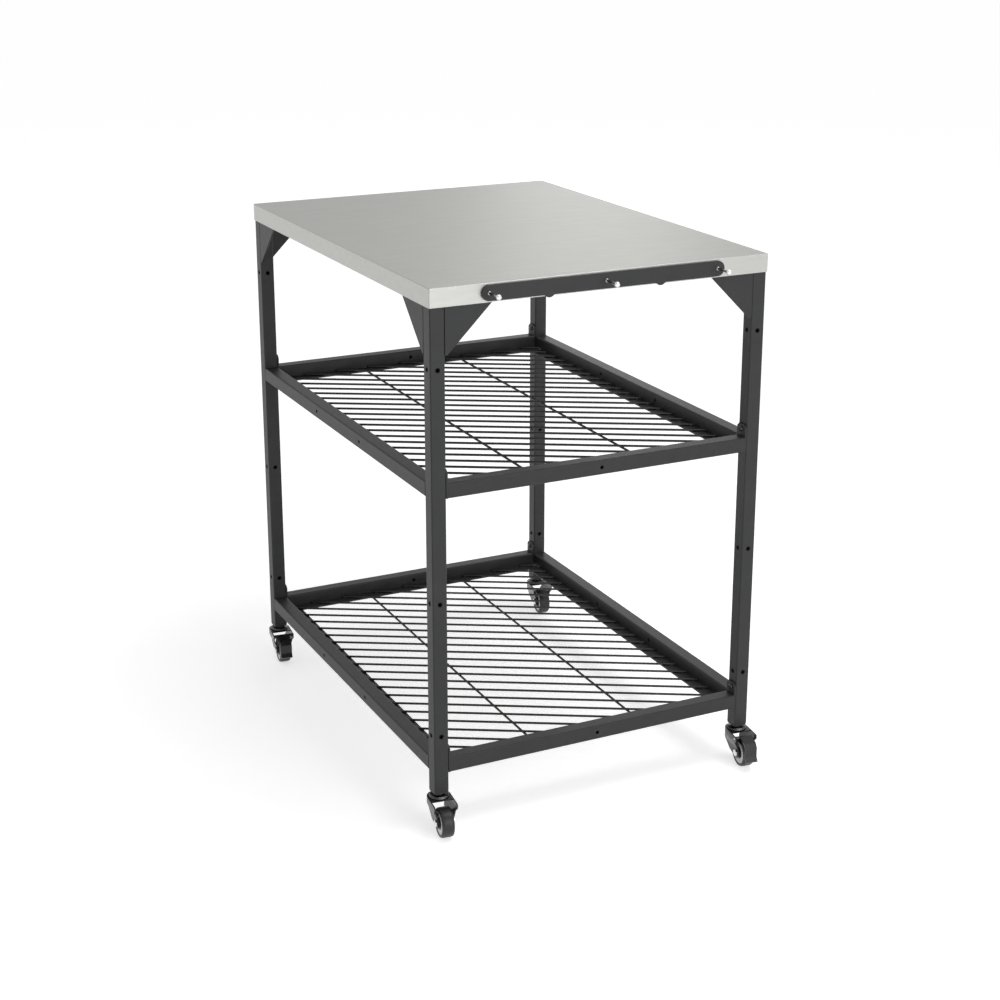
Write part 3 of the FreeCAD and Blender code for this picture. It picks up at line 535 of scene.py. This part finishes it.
def turned_metal(name, roughness):
    """Plated or polished small steel."""
    material = new_finish(name, 1.0, roughness)
    tint(material, noise(material, scale=300), TONES[name])
    roughen(material, noise(material, scale=700), roughness - 0.04, roughness + 0.06)
    emboss(material, noise(material, scale=2400), depth=0.004 * MM)


def moulded(name, roughness, grain=0.02 * MM):
    """Moulded plastic or rubber with a fine matt skin."""
    material = new_finish(name, 0.0, roughness)
    tint(material, noise(material, scale=120, detail=3), TONES[name])
    roughen(material, noise(material, scale=500), roughness - 0.05, roughness + 0.08)
    emboss(material, noise(material, scale=1600), depth=grain)


def make_finishes():
    """Every finish of the table."""
    brushed_steel("worktop_steel", roughness=0.45, along="X")
    powder_coat("powder_coat", roughness=0.46, grain=0.03 * MM, shine=0.36)
    powder_coat("wire_coat", roughness=0.5, grain=0.02 * MM)
    turned_metal("peg_steel", roughness=0.2)
    turned_metal("ball_steel_painted_highlight", roughness=0.3)
    turned_metal("screw_steel", roughness=0.3)
    turned_metal("dark_screw", roughness=0.34)
    turned_metal("insert_painted_hole_shade", roughness=0.5)
    moulded("black_plastic", roughness=0.5)
    powder_coat("caster_black", roughness=0.27, grain=0.015 * MM)
    turned_metal("caster_metal", roughness=0.28)
    moulded("tyre", roughness=0.42, grain=0.04 * MM)
    moulded("hub_plastic", roughness=0.4)
    moulded("core_plastic", roughness=0.34)


def coat(node, finish):
    """Gives a carried-over solid its finish."""
    materials = frame["nodes"][node].data.materials
    materials.clear()
    materials.append(FINISH[finish])


# The worktop.

def make_tray():
    """The folded sheet: top, four skirts, soft bends, open underneath."""
    low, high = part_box("tabletop")
    tray = box_between("worktop_tray", low, high)
    open_up(tray)
    # The four upright corners.
    pick_edges(tray, lambda a, b: abs(a.z - b.z) > TRAY_BEND)
    bpy.ops.mesh.bevel(offset=TRAY_CORNER, segments=4, affect="EDGES")
    # The underside, which stays open.
    pick_faces(tray, lambda middle, normal: normal.z < -0.9)
    bpy.ops.mesh.delete(type="FACE")
    # The bend round the top.
    pick_edges(tray, lambda a, b: min(a.z, b.z) > high.z - TRAY_BEND / 2)
    bpy.ops.mesh.bevel(offset=TRAY_BEND, segments=4, affect="EDGES")
    close_up()
    use(tray, "SOLIDIFY", "sheet", thickness=TRAY_SHEET, offset=-1, use_even_offset=True)
    true_flats(smooth(tray, 30))
    finished(tray, FINISH["worktop_steel"], "worktop_steel", "frame", "tabletop")


# The painted frame.

def painted(node, name, width=EDGE, segments=2):
    """A solid's eased copy in the frame's paint."""
    piece = eased_copy(node, name, width, segments)
    finished(piece, FINISH["powder_coat"], "powder_coat", "frame", node)


def make_frame():
    """Legs, rails, braces and tabs with eased edges, so that the joints between them show."""
    for corner in CORNERS:
        painted(f"leg_{corner}", f"leg_{corner}_tube")
        painted(f"braces_{corner}", f"brace_plates_{corner}", width=0.7 * MM)
    for shelf in SHELVES:
        for end in ENDS:
            painted(f"{shelf}_rail_{end}", f"{shelf}_shelf_{end}_rail")
        painted(f"{shelf}_shelf_tabs", f"{shelf}_shelf_tab_plates")
    for end in ENDS:
        coat(f"top_rail_{end}", "powder_coat")
    coat("top_cross_rails", "powder_coat")
    coat("rivet_nuts", "screw_steel")
    plugs = eased_copy("leg_plugs", "leg_end_plugs", width=0.5 * MM)
    finished(plugs, FINISH["black_plastic"], "black_plastic", "frame", "leg_plugs")


# Shelf grids.

def make_wire(name):
    """A short wire along x with rounded ends, which each wire of the shelves is drawn from."""
    wire = rod(name, WIRE_SIDES, WIRE / 2, 0, WIRE_STUB)
    put(wire, (0, 0, 0), Matrix.Rotation(math.radians(90), 4, "Y"))
    open_up(wire)
    pick_edges(wire, lambda a, b: abs(a.x - b.x) < WIRE / 10)
    bpy.ops.mesh.bevel(offset=WIRE / 6, segments=2, affect="EDGES")
    close_up()
    return smooth(wire, 40)


def make_bead(name):
    """A ball of radius 1, which each weld bead is pressed from."""
    bpy.ops.object.select_all(action="DESELECT")
    bpy.ops.mesh.primitive_uv_sphere_add(segments=10, ring_count=6, radius=1)
    return added(name)


def drawn(pattern, name, start, end):
    """One wire from start to end: the pattern's far end is pulled out to the length."""
    wire = twin(pattern, name)
    run = end - start
    spare = run.length - WIRE_STUB
    for vertex in wire.data.vertices:
        if vertex.co.x > WIRE_STUB / 2:
            vertex.co.x += spare
    return put(wire, start, lying_along(run))


def slanting_runs(shelf):
    """Where each slanting wire starts and ends, from the right rail up to the left."""
    grid_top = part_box(f"{shelf}_shelf_grid")[1].z
    lying = grid_top - WIRE / 2
    x_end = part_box("leg_front_right")[0].x - WIRE_SHY
    y_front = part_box("leg_front_right")[1].y + WIRE_SHY
    y_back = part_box("leg_back_right")[0].y - WIRE_SHY
    slope = math.tan(WIRE_ANGLE)
    rise = 2 * x_end * slope
    first = y_front - WIRE_SHY + WIRE_START
    landing = first - WIRE_PITCH * math.floor((first - y_front + rise) / WIRE_PITCH)
    runs = []
    while landing < y_back:
        past_front = max(y_front - landing, 0)
        past_back = max(landing + rise - y_back, 0)
        right = Vector((x_end - past_front / slope, landing + past_front, lying))
        left = Vector((-x_end + past_back / slope, landing + rise - past_back, lying))
        if (right - left).length > WIRE_PITCH:
            runs.append((left, right))
        landing += WIRE_PITCH
    return runs


def cross_runs(shelf):
    """The two wires under the slanting ones, from ledge to ledge."""
    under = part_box(f"{shelf}_shelf_grid")[1].z - WIRE * 1.5
    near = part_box(f"{shelf}_rail_front")[1].y
    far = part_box(f"{shelf}_rail_back")[0].y
    return [
        (Vector((x, near, under)), Vector((x, far, under)))
        for x in (-CROSS_WIRE_GAP / 2, CROSS_WIRE_GAP / 2)
    ]


def make_grids():
    """Each shelf's wires as one piece, and the weld beads under their ends as another."""
    pattern = make_wire("wire_pattern")
    bead = make_bead("weld_pattern")
    for shelf in SHELVES:
        wires, beads = [], []
        for index, (left, right) in enumerate(slanting_runs(shelf)):
            wires.append(drawn(pattern, f"slanting_wire_{index}", left, right))
            along = (right - left).normalized()
            pressed = lying_along(along) @ Matrix.Diagonal((*WELD, 1))
            for end, inward in ((left, along), (right, -along)):
                place = end + inward * WELD_INSET - UP * (WIRE / 2)
                beads.append(put(twin(bead, "weld"), place, pressed))
        for index, (near, far) in enumerate(cross_runs(shelf)):
            wires.append(drawn(pattern, f"cross_wire_{index}", near, far))
        grid = joined(f"{shelf}_wire_grid", wires)
        finished(grid, FINISH["wire_coat"], "wire_coat", "frame", f"{shelf}_shelf_grid")
        welds = smooth(joined(f"{shelf}_wire_welds", beads), 60)
        finished(welds, FINISH["powder_coat"], "powder_coat", "frame")
    remove(pattern)
    remove(bead)


# Fasteners.

def make_cap_screw(name):
    """A button head with a hexagon socket, standing on z = 0, with a washer under it."""
    dome = [
        (SCREW_HEAD - 0.75 * MM, WASHER_TOP - 0.15 * MM),
        (SCREW_HEAD, WASHER_TOP + 0.2 * MM),
        (SCREW_HEAD - 0.05 * MM, WASHER_TOP + 0.7 * MM),
        (SCREW_HEAD - 0.75 * MM, SCREW_TOP - 0.7 * MM),
        (SCREW_HEAD - 1.85 * MM, SCREW_TOP - 0.15 * MM),
        (SCREW_HEAD - 2.75 * MM, SCREW_TOP),
    ]
    head = turn_up(name, dome, 28)
    cut(head, rod("hexagon_key", 6, HEX_KEY, KEY_FLOOR, SCREW_TOP + 1 * MM))
    smooth(head)
    flat = [
        (WASHER_BORE, 0.02 * MM),
        (SCREW_HEAD, 0.02 * MM),
        (SCREW_HEAD, WASHER_TOP - 0.2 * MM),
        (SCREW_HEAD - 0.35 * MM, WASHER_TOP),
        (WASHER_BORE, WASHER_TOP),
    ]
    washer = smooth(turn_up("washer", flat, 28, ring=True))
    return joined(name, [head, washer])


def make_shelf_screws():
    """One screw on the inside of each shelf tab, facing the middle of the shelf."""
    pattern = make_cap_screw("cap_screw")
    screws = []
    for shelf in SHELVES:
        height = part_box(f"{shelf}_rail_front")[0].z + SCREW_HEIGHT
        for corner in CORNERS:
            low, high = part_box(f"leg_{corner}")
            side = 1 if high.x > 0 else -1
            inner = (low.x if side > 0 else high.x) - TAB_SHEET * side
            place = Vector((inner, (low.y + high.y) / 2, height))
            screws.append(put(twin(pattern, "screw"), place, facing((-side, 0, 0))))
    remove(pattern)
    group = joined("tab_screws", screws)
    finished(group, FINISH["dark_screw"], "screw_steel", "frame", "shelf_screws")


def make_insert(name):
    """A threaded insert with its face towards z: a thin flange, and a sleeve with a thread."""
    outline = [
        (THREAD_CREST - 0.05 * MM, -INSERT_LENGTH),
        (INSERT_SLEEVE, -INSERT_LENGTH),
        (INSERT_SLEEVE, 0),
        (INSERT_FLANGE, 0.02 * MM),
        (INSERT_FLANGE, 0.12 * MM),
        (INSERT_FLANGE - 0.2 * MM, 0.28 * MM),
        (THREAD_ROOT + 0.05 * MM, 0.2 * MM),
    ]
    for turn in range(THREADS):
        depth = THREAD_START + THREAD_PITCH * turn
        outline += [(THREAD_ROOT, -depth), (THREAD_CREST, -depth - THREAD_PITCH / 2)]
    return smooth(turn_up(name, outline, 24, ring=True), 25)


def make_inserts():
    """One insert in each spare hole of the legs, on all four faces, in a near-black finish that
    paints the shade inside the hole.
    """
    pattern = make_insert("insert_pattern")
    inserts = []
    for corner in CORNERS:
        low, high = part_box(f"leg_{corner}")
        centre = (low + high) / 2
        half = (high.x - low.x) / 2
        for height in SPARE_HEIGHTS:
            for direction in ((1, 0, 0), (-1, 0, 0), (0, 1, 0), (0, -1, 0)):
                place = Vector((centre.x, centre.y, height)) + Vector(direction) * half
                inserts.append(put(twin(pattern, "insert"), place, facing(direction)))
    remove(pattern)
    group = joined("leg_inserts", inserts)
    finished(group, FINISH["insert_painted_hole_shade"], "screw_steel", "frame")


# The tool rack.

def make_peg_rod(ball_centre):
    """A peg's rod along z, from its tail in the bar to the ball."""
    outline = [
        (PEG / 2, -PEG_TAIL),
        (PEG / 2 + 0.7 * MM, 0.02 * MM),
        (PEG / 2 + 0.6 * MM, 0.4 * MM),
        (PEG_NECK / 2, 0.9 * MM),
        (PEG_NECK / 2, ball_centre),
    ]
    return smooth(turn_up("peg_pattern", outline, 24), 60)


def make_peg_ball(ball_centre):
    """A peg's ball on z, open where the rod goes in."""
    neck = math.asin(PEG_NECK / BALL)
    outline = []
    for step in range(BALL_STEPS + 1):
        angle = neck + (math.pi - neck - BALL_POLE) * step / BALL_STEPS
        outline.append((BALL / 2 * math.sin(angle), ball_centre - BALL / 2 * math.cos(angle)))
    return smooth(turn_up("ball_pattern", outline, 32), 60)


def make_rack():
    """The bar on its two pads, and three pegs: the rods' steel is darkened as painted shade, and
    the balls' whitened as painted highlight.
    """
    painted("rack_bar", "rack_bar_plate", width=0.8 * MM, segments=3)
    pads = eased_copy("rack_pads", "rack_spacer_pads", width=0.4 * MM)
    finished(pads, FINISH["wire_coat"], "powder_coat", "frame", "rack_pads")
    low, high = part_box("rack_pegs")
    bar_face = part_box("rack_bar")[0].y
    ball_centre = bar_face - low.y - BALL / 2
    # Rods and balls are one chrome; the rods carry painted shade and the balls a painted highlight.
    patterns = {
        "hanging_pegs": (make_peg_rod(ball_centre), "peg_steel"),
        "peg_balls": (make_peg_ball(ball_centre), "ball_steel_painted_highlight"),
    }
    for name, (pattern, finish) in patterns.items():
        group = []
        for step in (-1, 0, 1):
            place = Vector((PEG_GAP * step, bar_face, (low.z + high.z) / 2))
            group.append(put(twin(pattern, "peg"), place, facing((0, -1, 0))))
        remove(pattern)
        finished(joined(name, group), FINISH[finish], "peg_steel", "frame", "rack_pegs")


# The casters.

def wheel_turn(corner):
    """The turn that takes z to the wheel's axis."""
    return facing(JOINTS[f"wheel_{corner}_spin"]["axis"])


def wheel_centre(corner):
    """The middle of the wheel."""
    return Vector(JOINTS[f"wheel_{corner}_spin"]["pos_m"])


def make_tyre_pattern():
    """The tyre, with a rounded tread."""
    half = TYRE_WIDTH / 2
    outer = WHEEL / 2
    inner = CORE / 2 + SEAT
    outline = [
        (inner, -half + 1 * MM),
        (inner + 0.6 * MM, -half),
        (outer - 2.6 * MM, -half),
        (outer - 1.5 * MM, -half + 0.5 * MM),
        (outer - 0.7 * MM, -half + 1.5 * MM),
        (outer - 0.2 * MM, -half + 3.2 * MM),
        (outer, -half + 5.5 * MM),
    ]
    return smooth(turn_up("tyre_pattern", mirrored(outline), 72, ring=True), 40)


def make_core_pattern():
    """The pale ring inside the tyre."""
    half = CORE_WIDTH / 2
    outer = CORE / 2
    inner = outer - CORE_RIM
    outline = [
        (outer, -half),
        (outer - 0.4 * MM, -half),
        (inner + 0.9 * MM, -half),
        (inner + 0.3 * MM, -half + 0.3 * MM),
        (inner, -half + 0.9 * MM),
    ]
    return smooth(turn_up("core_pattern", mirrored(outline), 64, ring=True), 30)


def make_hub_pattern():
    """The dark hub: a web with ribs between the bearing's boss and the pale ring."""
    rim = CORE / 2 - CORE_RIM + SEAT
    boss = HUB / 2
    outline = [
        (BORE / 2, -HUB_WIDTH / 2),
        (boss - 0.5 * MM, -HUB_WIDTH / 2),
        (boss, -HUB_WIDTH / 2 + 0.5 * MM),
        (boss + 0.3 * MM, -HUB_WEB - 0.5 * MM),
        (boss + 0.9 * MM, -HUB_WEB),
        (rim, -HUB_WEB),
    ]
    hub = smooth(turn_up("hub_pattern", mirrored(outline), 48, ring=True), 30)
    low = (boss - 0.5 * MM, -RIB_SHEET / 2, -RIB_WIDTH / 2)
    high = (rim, RIB_SHEET / 2, RIB_WIDTH / 2)
    ribs = []
    for index in range(RIBS):
        rib = eased(box_between("rib", low, high), width=0.4 * MM)
        ribs.append(put(rib, (0, 0, 0), Matrix.Rotation(2 * math.pi * index / RIBS, 4, "Z")))
    return joined("hub_pattern", [hub] + ribs)


def make_wheels():
    """Tyre, pale ring and dark hub of each wheel."""
    tyre, core, hub = make_tyre_pattern(), make_core_pattern(), make_hub_pattern()
    for corner in CORNERS:
        place, turn, body = wheel_centre(corner), wheel_turn(corner), f"wheel_{corner}"
        rubber = put(twin(tyre, f"tread_{corner}"), place, turn)
        finished(rubber, FINISH["tyre"], "tyre", body, f"tyre_{corner}")
        ring = put(twin(core, f"wheel_ring_{corner}"), place, turn)
        finished(ring, FINISH["core_plastic"], "core_plastic", body, f"wheel_core_{corner}")
        centre = put(twin(hub, f"wheel_hub_{corner}"), place, turn)
        finished(centre, FINISH["hub_plastic"], "core_plastic", body, f"wheel_core_{corner}")
    for pattern in (tyre, core, hub):
        remove(pattern)


def make_axle_pattern():
    """The wheel's bolt along z: a rod, with a hexagon head at either end."""
    outside = FORK_OUTSIDE / 2
    across = AXLE_HEAD / math.sqrt(3)
    parts = [rod("axle_bar", 32, BORE / 2 - AXLE_FIT, -outside, outside)]
    for half_turns in (1, 0):
        crown = rod("axle_crown", 6, across, outside, outside + AXLE_HEAD_HEIGHT)
        eased(crown, width=0.6 * MM)
        turn = Matrix.Rotation(math.pi * half_turns, 4, "X")
        parts.append(put(crown, (0, 0, 0), turn))
    return joined("axle_pattern", parts)


def make_brake_pin_pattern():
    """The brake's pivot: a pin with two domed heads, along z."""
    half = BRAKE_PIN_LENGTH / 2
    outline = [
        (BRAKE_PIN_HEAD - 1.05 * MM, -half - 1.0 * MM),
        (BRAKE_PIN_HEAD - 0.35 * MM, -half - 0.85 * MM),
        (BRAKE_PIN_HEAD, -half - 0.4 * MM),
        (BRAKE_PIN_HEAD, -half + 0.1 * MM),
    ]
    return smooth(turn_up("brake_pin_pattern", mirrored(outline), 24), 50)


def make_race():
    """The grooved upper race round z, with the stem above it."""
    rim = RACE / 2
    top = RACE_FOOT + RACE_HEIGHT
    outline = [
        (KINGPIN, RACE_FOOT),
        (rim - 0.6 * MM, RACE_FOOT),
        (rim, RACE_FOOT + 0.5 * MM),
        (rim - 0.1 * MM, RACE_FOOT + 1.2 * MM),
        (rim - 0.9 * MM, RACE_FOOT + 1.7 * MM),
        (rim - 1.0 * MM, RACE_FOOT + 2.1 * MM),
        (rim - 0.8 * MM, RACE_FOOT + 2.5 * MM),
        (rim - 1.4 * MM, RACE_FOOT + 3.2 * MM),
        (rim - 3.5 * MM, top - 0.2 * MM),
        (rim - 6 * MM, top),
        (STEM, top),
        (STEM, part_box("caster_stems")[1].z),
    ]
    return smooth(turn_up("stem_pattern", outline, 56), 35)


def make_collar():
    """The hexagon collar between the race and the leg's plug."""
    foot = RACE_FOOT + RACE_HEIGHT - 0.1 * MM
    plug_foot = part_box("leg_plugs")[0].z
    collar = rod("collar", 6, COLLAR / math.sqrt(3), foot, plug_foot - 0.02 * MM)
    return eased(collar, width=0.4 * MM)


def make_kingpin():
    """The pin that holds the fork, with its head below the fork's plate."""
    outline = [
        (KINGPIN, RACE_FOOT + 0.1 * MM),
        (KINGPIN, KINGPIN_SEAT),
        (KINGPIN_HEAD - 0.1 * MM, KINGPIN_SEAT - 0.1 * MM),
        (KINGPIN_HEAD, KINGPIN_SEAT - 1.0 * MM),
        (KINGPIN_HEAD - 0.9 * MM, KINGPIN_SEAT - 1.7 * MM),
        (KINGPIN_HEAD - 3.4 * MM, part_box("caster_stems")[0].z + 0.02 * MM),
    ]
    return smooth(turn_up("kingpin", outline, 32), 40)


def make_casters():
    """Stem, fork, pins and pedal of each caster."""
    axle = make_axle_pattern()
    brake_pin = make_brake_pin_pattern()
    stem = joined("stem_pattern", [make_race(), make_collar(), make_kingpin()])
    for corner in CORNERS:
        body = f"fork_{corner}"
        turn = wheel_turn(corner)
        swivel = Vector(JOINTS[f"swivel_{corner}"]["pos_m"])
        post = put(twin(stem, f"swivel_post_{corner}"), (swivel.x, swivel.y, 0))
        finished(post, FINISH["caster_metal"], "caster_metal", "frame", "caster_stems")
        fork = eased_copy(f"caster_fork_{corner}", f"fork_shell_{corner}", width=0.6 * MM)
        finished(fork, FINISH["caster_black"], "caster_black", body, f"caster_fork_{corner}")
        pins = [put(twin(axle, "axle"), wheel_centre(corner), turn)]
        if corner in BRAKED:
            place = Vector(JOINTS[f"brake_{corner}"]["pos_m"])
            pins.append(put(twin(brake_pin, "brake_pin"), place, turn))
            node, pedal_body = f"brake_pedal_{corner}", f"pedal_{corner}"
            pedal = eased_copy(node, f"pedal_plate_{corner}", width=0.5 * MM)
            finished(pedal, FINISH["caster_black"], "caster_black", pedal_body, node)
        group = joined(f"axle_bolt_{corner}", pins)
        finished(group, FINISH["screw_steel"], "screw_steel", body, f"caster_pins_{corner}")
    for pattern in (axle, brake_pin, stem):
        remove(pattern)


# Floor, light and camera.

def seen_directly(owner):
    """A node that gives 1 for rays from the camera, or by way of metal or glass."""
    path = add_node(owner, "ShaderNodeLightPath")
    source, output = path, "Is Camera Ray"
    for ray in ("Is Glossy Ray", "Is Transmission Ray"):
        either = add_node(owner, "ShaderNodeMath", {"operation": "MAXIMUM"})
        wire_up(owner, source, output, either, 0)
        wire_up(owner, path, ray, either, 1)
        source, output = either, "Value"
    return either


def make_floor():
    """A matt floor that adds light of its own where it is seen, so that only shadows show."""
    bpy.ops.object.select_all(action="DESELECT")
    bpy.ops.mesh.primitive_plane_add(size=FLOOR_SIDE)
    floor = added("floor")
    material = bpy.data.materials.new("pale_floor")
    material.use_nodes = True
    material.node_tree.nodes.clear()
    surface = add_node(material, "ShaderNodeOutputMaterial")
    paint = add_node(material, "ShaderNodeBsdfDiffuse", Color=FLOOR_TONE)
    lift = add_node(material, "ShaderNodeEmission")
    place = add_node(material, "ShaderNodeTexCoord")
    distance = add_node(material, "ShaderNodeVectorMath", {"operation": "LENGTH"})
    wire_up(material, place, "Object", distance, 0)
    area, levels = (NEAR_AREA, FAR_AREA), (NEAR_LIFT, FAR_LIFT)
    wire_up(material, spread(material, distance, "Value", area, levels), "Result", lift, "Strength")
    lifted = add_node(material, "ShaderNodeAddShader")
    wire_up(material, paint, "BSDF", lifted, 0)
    wire_up(material, lift, "Emission", lifted, 1)
    seen = add_node(material, "ShaderNodeMixShader")
    wire_up(material, seen_directly(material), "Value", seen, 0)
    wire_up(material, paint, "BSDF", seen, 1)
    wire_up(material, lifted, "Shader", seen, 2)
    wire_up(material, seen, "Shader", surface, "Surface")
    floor.data.materials.append(material)


def make_world():
    """White round the object and darker overhead, as in a studio with a plain cove."""
    world = bpy.data.worlds.new("studio")
    bpy.context.scene.world = world
    world.use_nodes = True
    background = world.node_tree.nodes["Background"]
    background.inputs["Color"].default_value = (1, 1, 1, 1)
    direction = add_node(world, "ShaderNodeTexCoord")
    height = add_node(world, "ShaderNodeSeparateXYZ")
    wire_up(world, direction, "Generated", height, "Vector")
    sky = spread(world, height, "Z", (WALL_TOP, CEILING_START), (1, CEILING_LIGHT))
    level = spread(world, seen_directly(world), "Value", (0, 1), (ROOM_LIGHT, 1))
    shaded = add_node(world, "ShaderNodeMath", {"operation": "MULTIPLY"})
    wire_up(world, sky, "Result", shaded, 0)
    wire_up(world, level, "Result", shaded, 1)
    path = add_node(world, "ShaderNodeLightPath")
    strength = add_node(world, "ShaderNodeMath", {"operation": "MAXIMUM"})
    wire_up(world, shaded, "Value", strength, 0)
    wire_up(world, path, "Is Camera Ray", strength, 1)
    wire_up(world, strength, "Value", background, "Strength")


def make_lamp(name, place, target, power, width, height):
    """A soft rectangular lamp that faces its target."""
    data = bpy.data.lights.new(name, "AREA")
    data.shape = "RECTANGLE"
    data.size = width
    data.size_y = height
    data.energy = power
    lamp = bpy.data.objects.new(name, data)
    bpy.context.collection.objects.link(lamp)
    lamp.location = place
    lamp.rotation_euler = (Vector(target) - Vector(place)).to_track_quat("-Z", "Y").to_euler()


def make_lamps():
    """All the lamps of the studio."""
    for name, values in LAMPS.items():
        make_lamp(name, *values)


def make_camera():
    """The photograph's place and direction, tilted down to the object."""
    data = bpy.data.cameras.new("camera")
    data.sensor_width = SENSOR
    data.lens = FOCAL / IMAGE * SENSOR
    data.shift_y = (AXIS_ROW - IMAGE / 2) / IMAGE
    camera = bpy.data.objects.new("camera", data)
    bpy.context.collection.objects.link(camera)
    camera.location = CAMERA_PLACE
    camera.rotation_euler = (math.pi / 2 - CAMERA_TILT, 0, -CAMERA_TURN)
    bpy.context.scene.camera = camera


bpy.context.scene.view_settings.view_transform = "Standard"
make_camera()
make_finishes()
make_tray()
make_frame()
make_grids()
make_shelf_screws()
make_inserts()
make_rack()
make_wheels()
make_casters()
make_floor()
make_world()
make_lamps()
